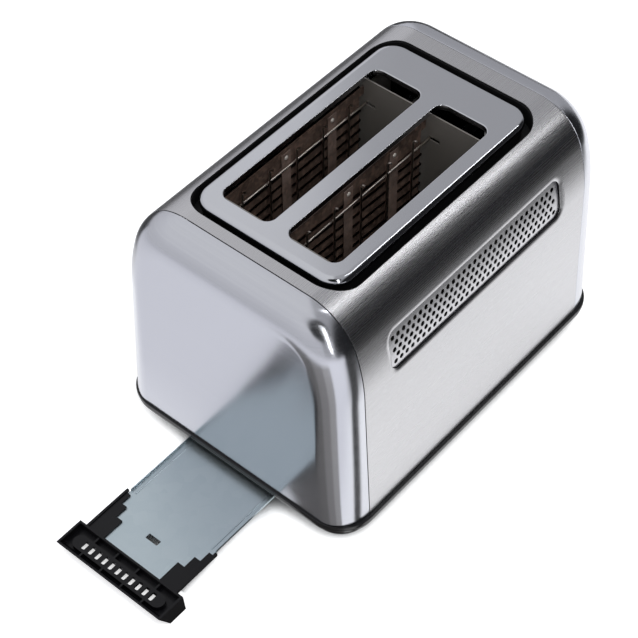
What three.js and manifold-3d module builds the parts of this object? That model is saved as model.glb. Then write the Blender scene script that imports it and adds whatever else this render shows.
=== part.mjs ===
// A two-slice toaster, as an assembly of its separate pieces, with the crumb tray pulled out.
// Sizes are in millimetres. X runs along the body towards the lever end and Z is up. The origin
// is the centre of the base plate's underside. Every piece is a mesh of its own.

import * as THREE from 'three';
import { mergeVertices } from 'three/addons/utils/BufferGeometryUtils.js';
import Module from 'manifold-3d';

// Sizes shared by many pieces
const clearance = 0.3; // between pieces that rest on each other or pass each other
const overrun = 1; // how far a cutter runs past what it cuts
const sheet = 0.8; // body and chassis sheet
const arcSteps = 3; // half the number of facets in a quarter turn of an outline
const sides = [-1, 1]; // the near and far side, or the tray and control end

// Body section: a flat top, a round shoulder, a wide flank arc and a straight side that leans out
const bodyTop = 174.6;
const bodyBottom = 15;
const topFlatHalf = 44.74;
const shoulderRadius = 35.2;
const shoulderTurn = THREE.MathUtils.degToRad(71.9);
const shoulderSteps = 7;
const flankRadius = 128.6;
const flankTurn = THREE.MathUtils.degToRad(87);
const flankSteps = 3;

// How far below the body's top the pieces inside it and the controls end
const drops = {
  well: 14.6, nearPlate: 3.2, farPlate: 4.7, reflector: 16.6, board: 11.6, guard: 11.6, rail: 23.6,
  rod: 18.6, fascia: 34.6, sliderTop: 46.6, lever: 52.6, rack: 68.6, armature: 84.6,
};

// Bread slots, the bezel round them and the dark well that the bezel sits in
const slot = { length: 140, width: 37.1, pitch: 48.75, corner: 6.5, centreX: -9.5, flange: 3 };
const bezel = { length: 179.6, width: 108.6, corner: 13.9, centreX: -2.25, rise: 1.3, roll: 4, skirt: 1 };
const wellGap = { end: 4.45, side: 5, corner: 4.5 };
const wellMouth = {
  length: bezel.length + 2 * wellGap.end,
  width: bezel.width + 2 * wellGap.side,
  corner: bezel.corner + wellGap.corner,
};
const well = { wall: 1.5, floor: bodyTop - drops.well, outerStep: 1, innerStep: 1.3, innerRise: 0.9 };
const bezelRollSteps = 2;

// Sheet wrap and the two end caps that close it
const mouthEdge = 10.15; // of the wrap, beyond the longer half of the well's mouth
const seamHalf = wellMouth.length / 2 + mouthEdge;
const seamGap = 0.4;
const capDepthLow = 23.1;
const capDepthHigh = 20.6;
const capEdge = 20;
const capSteps = 5;

// Perforated side panels and the openings that show them
const grilleHolesX = 1.75;
const grilleOpening = { centreX: 3, length: 162, top: 34, height: 27, corner: 9 };
const grille = {
  margin: 4, thickness: 0.6, gap: 0.36, lean: THREE.MathUtils.degToRad(9.5), holeRadius: 1.35, pitch: 5,
};
const grilleCornerSteps = 2;
const grilleRows = 5;
const grilleLongRow = 31;
const grilleFirstRowDrop = 38;
const nearHoleSides = 5;
const farHoleSides = 4;

// Moulded base frame, base plate, feet and cord gland
const skirt = { overEnd: 1.3, overSide: 2.3, corner: 24.5, bottom: 8.7, wall: 2.5, tuck: 0.8 };
const deck = { thickness: 2, openingHalfWidth: 36, openingNear: -72, openingFar: 50 };
const upstand = { inset: 1.6, wall: 2, height: 9.3 };
const rim = { inset: 6, wall: 2.5 };
const bay = { play: 1, halfWidth: 46, mouthHalfWidth: 38.5 };
const basePlate = { thickness: 1.5 };
const vent = { pitch: 52, y: 46, length: 42, width: 4, gap: 12, rows: 2, columns: 3 };
const foot = { x: 98, y: 62, radius: 9, height: 4, spigot: 3, head: 4.2, headHeight: 1.5, hole: 3.5 };
const footSides = 10;
const gland = { x: 88, y: 30, bore: 4, outer: 7, flange: 9, lip: 1.6 };
const glandSides = 10;

// Toasting chamber: end plates, reflectors, heater boards with their ribbons, guard wires
const chamber = {
  near: -76, far: 54, halfWidth: 50, nearTop: bodyTop - drops.nearPlate, farTop: bodyTop - drops.farPlate,
};
const reflector = { thickness: 0.6, top: bodyTop - drops.reflector, beads: 4, bead: 3, beadDepth: 1.5 };
const board = {
  thickness: 0.8, outerY: 47.3, bottom: 32, top: bodyTop - drops.board, endGap: 4, tab: 6, tabReach: 6,
};
const ribbon = { width: 1.7, thickness: 0.5, loops: 14, bottom: 42, topGap: 9 };
const ribbonPitch = (board.top - ribbon.topGap - ribbon.bottom) / ribbon.loops;
const guard = { radius: 0.9, pitch: 24, firstX: -60, count: 5, outerY: 43.4, innerY: 5.4, travel: 6.2 };
const guardWeldShare = 1.5; // of the wire's radius, from an upright's centre to its rail's
const hookSteps = 2;
const guardHeight = {
  bottom: 34, top: bodyTop - drops.guard, rail: bodyTop - drops.rail, lowRail: 46, hook: 2.6,
};
const wireSides = 5;

// Bread carriage: racks, slider, lever, spring, rod, magnet
const leverLow = 60;
const liftTravel = bodyTop - drops.lever - leverLow;
const rack = { top: bodyTop - drops.rack, depth: 9, thickness: 1.2, tooth: 2.5 };
const finger = { half: 8, length: 3, pitch: 12 };
const slider = {
  x: 62, thickness: 1.6, top: bodyTop - drops.sliderTop,
  armHalf: 31, armHeight: 8, neckHalf: 9,
};
const lever = { z: bodyTop - drops.lever, halfWidth: 2, halfHeight: 3.5, reach: 12 };
const leverKnob = { halfWidth: 18, height: 13, depth: 17, corner: 5, standOff: 3 };
const leverKnobShares = [[0, 0.88], [0.12, 1], [0.7, 1], [0.92, 0.9], [1, 0.7]]; // depth, size
const rod = { x: 74, y: 14, radius: 3, top: bodyTop - drops.rod };
const rodSides = 12;
const bush = { wall: 2.4, height: 22 };
const spring = { radius: 5.4, wire: 0.7, curls: 10, curlSteps: 6, sides: 4 };
const armature = { x: 96, y: -20, length: 20, width: 14, thickness: 2, z: bodyTop - drops.armature };
const magnet = { length: 18, width: 14, coilHeight: 9, core: 3, leg: 3 };

// Control end: fascia, board, browning knob, buttons, contacts
const fascia = {
  halfWidth: 42, bottom: 24, top: bodyTop - drops.fascia, corner: 8, depth: 5, proud: 0.8, slotHalf: 3.2,
};
const controlBoard = { back: 108.6, thickness: 1.6, halfWidth: 56, top: 52 };
const knob = { z: 36, radius: 13.5, depth: 14, grip: 1.2, standOff: 0.6, chamfer: 1.5, socket: 9 };
const knobGrips = 14;
const pot = { half: 8, depth: 8, shaft: 3 };
const button = { y: -30, firstZ: 68, pitch: 18, width: 14, height: 9, corner: 3, proud: 2.6, tail: 8 };
const buttonCornerSteps = 1;
const buttonNames = ['cancel_button', 'reheat_button', 'defrost_button'];
const contacts = { y: 34, width: 16, depth: 12, height: 14, leaf: 0.8, leafRise: 12 };

// Crumb tray, its handle and runners, in their pulled-out place
const tray = { front: -214.3, length: 180.3, width: 69.5, bottom: 5.6, thickness: 0.6, flange: 1.8 };
const trayHole = { x: -196, length: 4, width: 9.5 };
const handle = {
  front: -234.8, depth: 20.2, undercut: 7.2, topHalf: 41.6, lowHalf: 43, top: 8.2, height: 11, wall: 1.4,
};
const handleWeb = { bottom: 1.8, thickness: 1.4 };
const handleRib = { thickness: 1.2, pitch: 16.5, count: 4 };
const handlePlate = { x: -225.2, length: 72, width: 9.6, drop: 1.2, roof: 1.6, wall: 1.2 };
const handleSlot = { pitch: 5.44, length: 5.6, width: 2.9, count: 11 };
const arm = { outer: 36.6, tip: -180, thickness: 0.8, lip: 1.5, lipBottom: 5.8 };
const armEnd = { root: -198.7, middle: -189.7, tip: -182 }; // where each of an arm's steps ends
const armInner = { root: 22.6, middle: 27.6, tip: 32 };
const runner = { near: -100, far: 76, gap: 0.4, wall: 1.2, ledge: 3.5, ledgeThickness: 1 };

// Colours, roughness and metalness of the materials
const finishes = {
  brushedSteel: [0xb9b9bb, 0.38, 1],
  satinSteel: [0xc4c5c8, 0.28, 1],
  galvanised: [0x9fb0b8, 0.45, 0.9],
  plainSteel: [0x8f8f90, 0.45, 1],
  darkSteel: [0x4c4741, 0.5, 0.8],
  black: [0x141416, 0.4, 0],
  rubber: [0x101010, 0.85, 0],
  mica: [0x8d8069, 0.7, 0],
  heatingRibbon: [0x77706a, 0.45, 1],
  circuitBoard: [0x2f5a34, 0.6, 0],
  copper: [0xa8602f, 0.45, 1],
  brass: [0xb08d4a, 0.35, 1],
};

// Helpers for solids

const wasm = await Module();
wasm.setup();

// Turns a closed geometry into a solid that can be joined and cut.
function solid(geometry) {
  const shape = geometry.clone();
  shape.deleteAttribute('normal');
  shape.deleteAttribute('uv');
  const merged = mergeVertices(shape);
  const vertProperties = new Float32Array(merged.attributes.position.array);
  const triVerts = new Uint32Array(merged.index.array);
  return new wasm.Manifold(new wasm.Mesh({ numProp: 3, vertProperties, triVerts }));
}

// Turns a solid back into a geometry.
function geometryOf(body) {
  const mesh = body.getMesh();
  const geometry = new THREE.BufferGeometry();
  geometry.setAttribute('position', new THREE.BufferAttribute(new Float32Array(mesh.vertProperties), 3));
  geometry.setIndex(new THREE.BufferAttribute(new Uint32Array(mesh.triVerts), 1));
  geometry.computeVertexNormals();
  return geometry;
}

function joined(first, ...others) {
  return others.reduce((sum, next) => sum.add(next), first);
}

function cut(first, ...others) {
  return others.reduce((rest, next) => rest.subtract(next), first);
}

// A box between two corners.
function box(x0, x1, y0, y1, z0, z1) {
  const shape = new THREE.BoxGeometry(x1 - x0, y1 - y0, z1 - z0);
  shape.translate((x0 + x1) / 2, (y0 + y1) / 2, (z0 + z1) / 2);
  return solid(shape);
}

// An outline pushed along an axis: (x, y) along z, (y, z) along x, or (x, z) along y.
function prism(outline, axis, from, to, curveSegments = arcSteps) {
  const shape = new THREE.ExtrudeGeometry(outline, { depth: to - from, bevelEnabled: false, curveSegments });
  const turn = new THREE.Matrix4();
  if (axis === 'z') turn.makeTranslation(0, 0, from);
  if (axis === 'x') turn.set(0, 0, 1, from, 1, 0, 0, 0, 0, 1, 0, 0, 0, 0, 0, 1);
  if (axis === 'y') turn.set(1, 0, 0, 0, 0, 0, -1, to, 0, 1, 0, 0, 0, 0, 0, 1);
  shape.applyMatrix4(turn);
  return solid(shape);
}

// A rectangle with round corners about a centre, as an outline.
function roundedRect(centreU, centreV, length, width, corner) {
  const u = length / 2;
  const v = width / 2;
  const quarter = Math.PI / 2;
  const outline = new THREE.Shape();
  outline.absarc(centreU + u - corner, centreV + v - corner, corner, 0, quarter);
  outline.absarc(centreU - u + corner, centreV + v - corner, corner, quarter, 2 * quarter);
  outline.absarc(centreU - u + corner, centreV - v + corner, corner, 2 * quarter, 3 * quarter);
  outline.absarc(centreU + u - corner, centreV - v + corner, corner, 3 * quarter, 4 * quarter);
  outline.closePath();
  return outline;
}

// The points of a closed outline at a height, without the one that closes it.
function ringAt(outline, z) {
  return outline.getPoints(arcSteps).slice(0, -1).map((p) => new THREE.Vector3(p.x, p.y, z));
}

function polygon(points) {
  return new THREE.Shape(points.map(([u, v]) => new THREE.Vector2(u, v)));
}

// A cylinder along an axis, between two places on it.
function cylinder(axis, centre, radius, from, to, sides) {
  const shape = new THREE.CylinderGeometry(radius, radius, to - from, sides);
  if (axis === 'z') shape.rotateX(Math.PI / 2);
  if (axis === 'x') shape.rotateZ(-Math.PI / 2);
  const middle = (from + to) / 2;
  if (axis === 'z') shape.translate(centre[0], centre[1], middle);
  if (axis === 'x') shape.translate(middle, centre[0], centre[1]);
  return solid(shape);
}

// A profile of (radius, height) points turned about a vertical axis.
function turned(profile, sides, x, y) {
  const shape = new THREE.LatheGeometry(profile.map(([r, z]) => new THREE.Vector2(r, z)), sides);
  shape.rotateX(Math.PI / 2);
  shape.translate(x, y, 0);
  return solid(shape);
}

// A skin over rings of equal count, each wound anticlockwise about the way the rings advance.
function loft(rings) {
  const count = rings[0].length;
  const positions = rings.flat().flatMap((p) => [p.x, p.y, p.z]);
  for (const ring of [rings[0], rings.at(-1)]) {
    const middle = ring.reduce((sum, p) => sum.add(p), new THREE.Vector3()).divideScalar(count);
    positions.push(middle.x, middle.y, middle.z);
  }
  const startMiddle = rings.length * count;
  const lastRing = startMiddle - count;
  const index = [];
  for (let i = 0; i < count; i++) {
    const j = (i + 1) % count;
    for (let base = 0; base < lastRing; base += count) {
      index.push(base + i, base + j, base + count + j);
      index.push(base + i, base + count + j, base + count + i);
    }
    index.push(startMiddle, j, i);
    index.push(startMiddle + 1, lastRing + i, lastRing + j);
  }
  const shape = new THREE.BufferGeometry();
  shape.setAttribute('position', new THREE.Float32BufferAttribute(positions, 3));
  shape.setIndex(index);
  return solid(shape);
}

// A round wire through points, with an even-sided section.
function wire(points, radius, sides) {
  const rings = [];
  let side = null;
  for (let i = 0; i < points.length; i++) {
    const before = points[Math.max(i - 1, 0)];
    const after = points[Math.min(i + 1, points.length - 1)];
    const along = after.clone().sub(before).normalize();
    if (side === null) side = sideways(along);
    side.addScaledVector(along, -side.dot(along)).normalize();
    const up = along.clone().cross(side);
    rings.push(circle(points[i], side, up, radius, sides));
  }
  return loft(rings);
}

// A unit vector at right angles to a given one.
function sideways(along) {
  const lengthwise = Math.abs(along.x) > Math.abs(along.y);
  const pick = lengthwise ? new THREE.Vector3(0, 1, 0) : new THREE.Vector3(1, 0, 0);
  return pick.addScaledVector(along, -pick.dot(along)).normalize();
}

function circle(centre, side, up, radius, sides) {
  const ring = [];
  for (let i = 0; i < sides; i++) {
    const angle = (i / sides) * 2 * Math.PI;
    const point = centre.clone().addScaledVector(side, radius * Math.cos(angle));
    ring.push(point.addScaledVector(up, radius * Math.sin(angle)));
  }
  return ring;
}

// The least distance between stretches of a path that are more than a few steps apart.
function leastGap(points, skip, thickness) {
  let least = Infinity;
  for (let i = 0; i < points.length; i++) {
    for (let j = i + skip; j < points.length; j++) {
      least = Math.min(least, points[i].distanceTo(points[j]));
    }
  }
  return least - thickness;
}

const toaster = new THREE.Group();

// Adds a piece to the toaster under its own name.
function add(name, body, finish) {
  const [color, roughness, metalness] = finishes[finish];
  const mesh = new THREE.Mesh(
    body instanceof THREE.BufferGeometry ? body : geometryOf(body),
    new THREE.MeshStandardMaterial({ color, roughness, metalness }),
  );
  mesh.name = name;
  toaster.add(mesh);
}

// Body section

const shoulderZ = bodyTop - shoulderRadius;
const flankY = topFlatHalf + (shoulderRadius - flankRadius) * Math.sin(shoulderTurn);
const flankZ = shoulderZ + (shoulderRadius - flankRadius) * Math.cos(shoulderTurn);
const sideLean = Math.PI / 2 - flankTurn;

// The (y, z) points of the section, drawn in by an inset, from the right foot over to the left.
function sectionPoints(inset, bottom) {
  const half = [];
  for (let i = 0; i <= shoulderSteps; i++) {
    const turn = (i / shoulderSteps) * shoulderTurn;
    const radius = shoulderRadius - inset;
    half.push([topFlatHalf + radius * Math.sin(turn), shoulderZ + radius * Math.cos(turn)]);
  }
  for (let i = 1; i <= flankSteps; i++) {
    const turn = shoulderTurn + (i / flankSteps) * (flankTurn - shoulderTurn);
    const radius = flankRadius - inset;
    half.push([flankY + radius * Math.sin(turn), flankZ + radius * Math.cos(turn)]);
  }
  const [y, z] = half.at(-1);
  half.push([y + (z - bottom) * Math.tan(sideLean), bottom]);
  const left = half.map(([u, v]) => [-u, v]);
  return [...half.toReversed(), ...left];
}

// Half the outer width of the body at a height on its flank or straight side.
function halfWidthAt(z) {
  const flankEndZ = flankZ + flankRadius * Math.cos(flankTurn);
  const flankEndY = flankY + flankRadius * Math.sin(flankTurn);
  if (z < flankEndZ) return flankEndY + (flankEndZ - z) * Math.tan(sideLean);
  return flankY + Math.sqrt(flankRadius ** 2 - (z - flankZ) ** 2);
}

// Wrap: one sheet over the top and both sides

const wrapHalf = seamHalf - seamGap / 2;
const mouthOutline = roundedRect(bezel.centreX, 0, wellMouth.length, wellMouth.width, wellMouth.corner);
const grilleTop = bodyTop - grilleOpening.top;
const grilleMiddle = grilleTop - grilleOpening.height / 2;
const grilleOutline = roundedRect(
  grilleOpening.centreX, grilleMiddle, grilleOpening.length, grilleOpening.height, grilleOpening.corner,
);

function wrapShell() {
  const outside = prism(polygon(sectionPoints(0, bodyBottom)), 'x', -wrapHalf, wrapHalf);
  const inside = polygon(sectionPoints(sheet, bodyBottom - overrun));
  const widest = halfWidthAt(bodyBottom) + overrun;
  return cut(
    outside,
    prism(inside, 'x', -wrapHalf - overrun, wrapHalf + overrun),
    prism(mouthOutline, 'z', shoulderZ, bodyTop + overrun),
    prism(grilleOutline, 'y', -widest, widest),
  );
}
add('wrap_shell', wrapShell(), 'brushedSteel');

// End caps: the section drawn in round a quarter turn, with a flat end

function capDepth(z) {
  const share = (z - bodyBottom) / (bodyTop - bodyBottom);
  return capDepthLow + (capDepthHigh - capDepthLow) * share;
}

// One cap's solid, drawn in by an inset, from its seam to its flat end. The end is +1 or -1.
function capSolid(end, inset, start, bottom) {
  const rings = [sectionPoints(inset, bottom).map(([y, z]) => new THREE.Vector3(end * start, y, z))];
  for (let i = 0; i <= capSteps; i++) {
    const turn = (i / capSteps) * (Math.PI / 2);
    const drawnIn = inset + (capEdge - inset) * (1 - Math.cos(turn));
    rings.push(sectionPoints(drawnIn, bottom).map(([y, z]) => {
      const reach = seamHalf + seamGap / 2 + (capDepth(z) - inset) * Math.sin(turn);
      return new THREE.Vector3(end * reach, y, z);
    }));
  }
  return loft(end > 0 ? rings : rings.toReversed());
}

function endCap(end) {
  const rimX = seamHalf + seamGap / 2;
  const outside = capSolid(end, 0, rimX - overrun, bodyBottom);
  const inside = capSolid(end, sheet, rimX - 2 * overrun, bodyBottom - overrun);
  const trim = halfWidthAt(bodyBottom) + overrun;
  const beyond = [end * (rimX - 2 * overrun), end * rimX].sort((a, b) => a - b);
  return cut(outside, inside, box(...beyond, -trim, trim, bodyBottom - overrun, bodyTop + overrun));
}

// Fascia: a black panel let into the control end, with a slot for the lever

const fasciaMiddle = (fascia.bottom + fascia.top) / 2;
const capEndX = seamHalf + seamGap / 2 + capDepthLow;
const fasciaFront = capEndX + fascia.proud;
const fasciaBack = fasciaFront - fascia.depth;
const buttonZ = buttonNames.map((name, i) => button.firstZ + i * button.pitch);

function fasciaOutline(margin) {
  const size = [2 * (fascia.halfWidth + margin), fascia.top - fascia.bottom + 2 * margin];
  return roundedRect(0, fasciaMiddle, ...size, fascia.corner + margin);
}

function buttonOutline(z, margin) {
  const size = [button.width + 2 * margin, button.height + 2 * margin];
  return roundedRect(button.y, z, ...size, button.corner + margin);
}

const leverSlot = box(
  fasciaBack - overrun, fasciaFront + overrun, -fascia.slotHalf, fascia.slotHalf,
  leverLow - lever.halfHeight - clearance * 2, lever.z + lever.halfHeight + clearance * 2,
);

function controlFascia() {
  const through = [fasciaBack - overrun, fasciaFront + overrun];
  const knobHole = cylinder('x', [0, knob.z], pot.shaft + clearance * 2, ...through, rodSides);
  const buttonHoles = buttonZ.map((z) => {
    return prism(buttonOutline(z, clearance), 'x', ...through, buttonCornerSteps);
  });
  return cut(prism(fasciaOutline(0), 'x', fasciaBack, fasciaFront), leverSlot, knobHole, ...buttonHoles);
}

add('tray_end_cap', endCap(-1), 'satinSteel');
const fasciaHole = prism(fasciaOutline(clearance), 'x', seamHalf, fasciaFront + overrun);
add('control_end_cap', cut(endCap(1), fasciaHole), 'satinSteel');
add('control_fascia', controlFascia(), 'black');

// Bezel: a plate with a rolled edge and a turned-down flange round each slot

const bezelTop = bodyTop + bezel.rise;

function bezelOutlineRing(inset, z) {
  const size = [bezel.length - 2 * inset, bezel.width - 2 * inset];
  return ringAt(roundedRect(bezel.centreX, 0, ...size, bezel.corner - inset), z);
}

function bezelForm(inset, bottom) {
  const rings = [bezelOutlineRing(inset, bottom)];
  const radius = bezel.roll - inset;
  for (let i = 0; i <= bezelRollSteps; i++) {
    const turn = (i / bezelRollSteps) * (Math.PI / 2);
    const drawnIn = inset + radius * (1 - Math.cos(turn));
    rings.push(bezelOutlineRing(drawnIn, bezelTop - bezel.roll + radius * Math.sin(turn)));
  }
  return loft(rings);
}

function slotOutline(side, margin) {
  const size = [slot.length + 2 * margin, slot.width + 2 * margin];
  return roundedRect(slot.centreX, (side * slot.pitch) / 2, ...size, slot.corner + margin);
}

function topBezel() {
  const bottom = bezelTop - bezel.roll - bezel.skirt;
  let plate = cut(bezelForm(0, bottom), bezelForm(sheet, bottom - overrun));
  const flangeBottom = bezelTop - sheet - slot.flange;
  for (const side of sides) {
    plate = plate.add(prism(slotOutline(side, sheet), 'z', flangeBottom, bezelTop - sheet / 2));
  }
  const through = [flangeBottom - overrun, bezelTop + overrun];
  const holes = sides.map((side) => prism(slotOutline(side, 0), 'z', ...through));
  return cut(plate, ...holes);
}
add('top_bezel', topBezel(), 'brushedSteel');

// Well: a black ring with a floor, hung under the wrap, that the bezel sits in

function wellOutline(grow) {
  const size = [wellMouth.length + 2 * grow, wellMouth.width + 2 * grow];
  return roundedRect(bezel.centreX, 0, ...size, wellMouth.corner + grow);
}

function wellInner(inset) {
  const size = [bezel.length - 2 * inset, bezel.width - 2 * inset];
  return roundedRect(bezel.centreX, 0, ...size, bezel.corner - inset);
}

function bezelWell() {
  const innerTop = bezelTop - bezel.roll + well.innerRise;
  const inset = well.innerStep;
  const under = polygon(sectionPoints(sheet + clearance, bodyBottom));
  const outer = prism(wellOutline(well.outerStep), 'z', well.floor, bodyTop)
    .intersect(prism(under, 'x', -wrapHalf, wrapHalf));
  const trough = cut(
    prism(wellOutline(well.outerStep - well.wall), 'z', well.floor + well.wall, bodyTop + overrun),
    prism(wellInner(inset), 'z', well.floor, innerTop),
  );
  const hole = prism(wellInner(inset + well.wall), 'z', well.floor - overrun, bodyTop + overrun);
  return cut(outer, trough, hole);
}
add('bezel_well', bezelWell(), 'black');

// Side grilles: flat perforated panels that lean behind the openings

const panelHeight = grilleOpening.height + 2 * grille.margin;
const panelFoot = grilleTop - grilleOpening.height - grille.margin;
const panelY = halfWidthAt(panelFoot) - sheet - grille.gap;
const rowPitch = grille.pitch * Math.cos(Math.PI / 6);
const firstRow = (bodyTop - grilleFirstRowDrop - panelFoot) / Math.cos(grille.lean);

// The panel lies in its own plane first: x along it, v up it from its foot.
function grillePanel(side, holeSides) {
  const length = grilleOpening.length + 2 * grille.margin;
  const rise = panelHeight / Math.cos(grille.lean);
  const corner = grilleOpening.corner;
  const outline = roundedRect(grilleOpening.centreX, rise / 2, length, rise, corner);
  for (let row = 0; row < grilleRows; row++) {
    const count = grilleLongRow - (row % 2);
    const firstX = grilleHolesX - ((count - 1) * grille.pitch) / 2;
    for (let i = 0; i < count; i++) {
      outline.holes.push(grilleHole(firstX + i * grille.pitch, firstRow - row * rowPitch, holeSides));
    }
  }
  const depth = grille.thickness;
  const options = { depth, bevelEnabled: false, curveSegments: grilleCornerSteps };
  const panel = new THREE.ExtrudeGeometry(outline, options);
  if (side < 0) panel.translate(0, 0, -depth);
  panel.rotateX(Math.PI / 2 + side * grille.lean);
  panel.translate(0, side * panelY, panelFoot);
  return solid(panel);
}

function grilleHole(u, v, sides) {
  const hole = new THREE.Path();
  for (let i = 0; i < sides; i++) {
    const angle = (i / sides) * 2 * Math.PI;
    const point = [u + grille.holeRadius * Math.sin(angle), v + grille.holeRadius * Math.cos(angle)];
    if (i === 0) hole.moveTo(...point);
    else hole.lineTo(...point);
  }
  hole.closePath();
  return hole;
}
add('side_grille_near', grillePanel(-1, nearHoleSides), 'brushedSteel');
add('side_grille_far', grillePanel(1, farHoleSides), 'brushedSteel');

// Base frame: one moulding with a skirt, a deck, an upstand inside the metal and a lower rim

const skirtHalfX = capEndX + skirt.overEnd;
const skirtHalfY = halfWidthAt(bodyBottom) + skirt.overSide;
const skirtTop = bodyBottom - clearance;
const deckTop = skirt.bottom + deck.thickness;
const standZ = deckTop + clearance;
const bayX = -skirtHalfX + handle.depth + bay.play;

function frameOutline(inset) {
  return roundedRect(0, 0, 2 * (skirtHalfX - inset), 2 * (skirtHalfY - inset), skirt.corner - inset);
}

// The outline of the metal's foot, drawn in by an inset.
function footOutline(inset) {
  const length = 2 * (capEndX - inset);
  const width = 2 * (halfWidthAt(bodyBottom) - inset);
  return roundedRect(0, 0, length, width, capDepthLow - inset);
}

function frameRing(inset, z) {
  return ringAt(frameOutline(inset), z);
}

function baseFrame() {
  const bandZ = (skirt.bottom + skirtTop) / 2;
  const skirtForm = loft([
    frameRing(skirt.tuck, skirt.bottom), frameRing(0, bandZ), frameRing(0, skirtTop),
  ]);
  const upstandTop = deckTop + upstand.height;
  const upstandForm = prism(footOutline(upstand.inset), 'z', deckTop - deck.thickness / 2, upstandTop);
  const rimForm = prism(frameOutline(rim.inset), 'z', 0, skirt.bottom + deck.thickness / 2);
  const inRim = rim.inset + rim.wall;
  const deckHole = box(
    deck.openingNear, deck.openingFar, -deck.openingHalfWidth, deck.openingHalfWidth,
    -overrun, upstandTop + overrun,
  );
  const hollows = [
    prism(frameOutline(skirt.wall), 'z', deckTop, upstandTop + overrun),
    prism(footOutline(upstand.inset + upstand.wall), 'z', deckTop, upstandTop + overrun),
    prism(frameOutline(inRim), 'z', -overrun, skirt.bottom),
    deckHole,
  ];
  const outside = cut(joined(skirtForm, rimForm), hollows[0], hollows[2]);
  const frame = cut(joined(outside, upstandForm), hollows[1], hollows[3]);
  const bayHole = box(-skirtHalfX, bayX, -bay.halfWidth, bay.halfWidth, -overrun, skirt.bottom);
  const wallX = [-skirtHalfX + rim.inset + rim.wall / 2, bayX + rim.wall];
  const wallY = [bay.mouthHalfWidth, bay.halfWidth + rim.wall];
  const stubs = sides.map((side) => {
    const [y0, y1] = wallY.map((y) => side * y).sort((a, b) => a - b);
    return box(...wallX, y0, y1, 0, skirt.bottom + deck.thickness / 2);
  });
  return cut(joined(frame, ...stubs), bayHole);
}
add('base_frame', baseFrame(), 'black');

// Base plate, feet and gland

function basePlateForm() {
  const inset = rim.inset + rim.wall + clearance;
  const plate = prism(frameOutline(inset), 'z', 0, basePlate.thickness);
  const bayHalf = bay.halfWidth + rim.wall + clearance;
  const through = [-overrun, basePlate.thickness + overrun];
  const holes = [box(-skirtHalfX, bayX + rim.wall + clearance, -bayHalf, bayHalf, ...through)];
  for (const side of sides) {
    for (const end of sides) {
      holes.push(cylinder('z', [end * foot.x, side * foot.y], foot.hole, ...through, footSides));
    }
    for (let i = 0; i < vent.rows * vent.columns; i++) {
      const x = (Math.floor(i / vent.rows) - (vent.columns - 1) / 2) * vent.pitch;
      const y = side * (vent.y + (i % vent.rows) * vent.gap);
      const across = [y - vent.width / 2, y + vent.width / 2];
      holes.push(box(x - vent.length / 2, x + vent.length / 2, ...across, ...through));
    }
  }
  holes.push(cylinder('z', [gland.x, gland.y], gland.outer + clearance, ...through, glandSides));
  return cut(plate, ...holes);
}
add('base_plate', basePlateForm(), 'galvanised');

// A foot has a stem through the plate and a head that keeps it there.
function footForm(x, y) {
  const headBottom = basePlate.thickness + clearance;
  return turned([
    [0, -foot.height], [foot.radius - sheet, -foot.height], [foot.radius, sheet - foot.height],
    [foot.radius, -clearance], [foot.spigot, -clearance], [foot.spigot, headBottom],
    [foot.head, headBottom], [foot.spigot, headBottom + foot.headHeight], [0, headBottom + foot.headHeight],
  ], footSides, x, y);
}
for (const [end, x] of [['tray_end', -foot.x], ['control_end', foot.x]]) {
  add(`foot_${end}_near`, footForm(x, -foot.y), 'rubber');
  add(`foot_${end}_far`, footForm(x, foot.y), 'rubber');
}

function glandForm() {
  const above = basePlate.thickness + clearance;
  const profile = [
    [gland.bore, -clearance - gland.lip], [gland.flange, -clearance - gland.lip],
    [gland.flange, -clearance], [gland.outer, -clearance], [gland.outer, above],
    [gland.flange, above], [gland.flange, above + gland.lip], [gland.bore, above + gland.lip],
    [gland.bore, -clearance - gland.lip],
  ];
  return turned(profile, glandSides, gland.x, gland.y);
}
add('cord_gland', glandForm(), 'black');

// Chamber end plates, with slits for the boards and rails and, at the far end, the bread racks

const boardYs = { left: -board.outerY, centre: 0, right: board.outerY };
const guardYs = {
  left_outer: -guard.outerY, left_inner: -guard.innerY,
  right_inner: guard.innerY, right_outer: guard.outerY,
};
const rackYs = { left: -slot.pitch / 2, right: slot.pitch / 2 };
const railHeights = [guardHeight.lowRail, guardHeight.rail];

// Which way along Y a guard moves to meet the bread.
function breadSide(y) {
  return Math.sign(y) * (Math.abs(y) > slot.pitch / 2 ? -1 : 1);
}

// The rails lie behind the uprights, sunk into them at the welds.
function railY(y) {
  return y - breadSide(y) * guard.radius * guardWeldShare;
}

function plateSlits(x) {
  const across = [x - overrun, x + sheet + overrun];
  const slits = [];
  for (const y of Object.values(boardYs)) {
    const half = board.thickness / 2 + clearance;
    for (const bottom of [board.bottom, board.top - board.tab]) {
      slits.push(box(...across, y - half, y + half, bottom - clearance, bottom + board.tab + clearance));
    }
  }
  for (const y of Object.values(guardYs)) {
    const reach = guard.radius + clearance;
    const ends = [railY(y) - breadSide(y) * reach, railY(y) + breadSide(y) * (guard.travel + reach)];
    ends.sort((a, b) => a - b);
    for (const z of railHeights) slits.push(box(...across, ...ends, z - reach, z + reach));
  }
  return slits;
}

const rackBottom = rack.top - rack.depth;

function chassisPlate(x, top) {
  return cut(box(x, x + sheet, -chamber.halfWidth, chamber.halfWidth, standZ, top), ...plateSlits(x));
}

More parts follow.
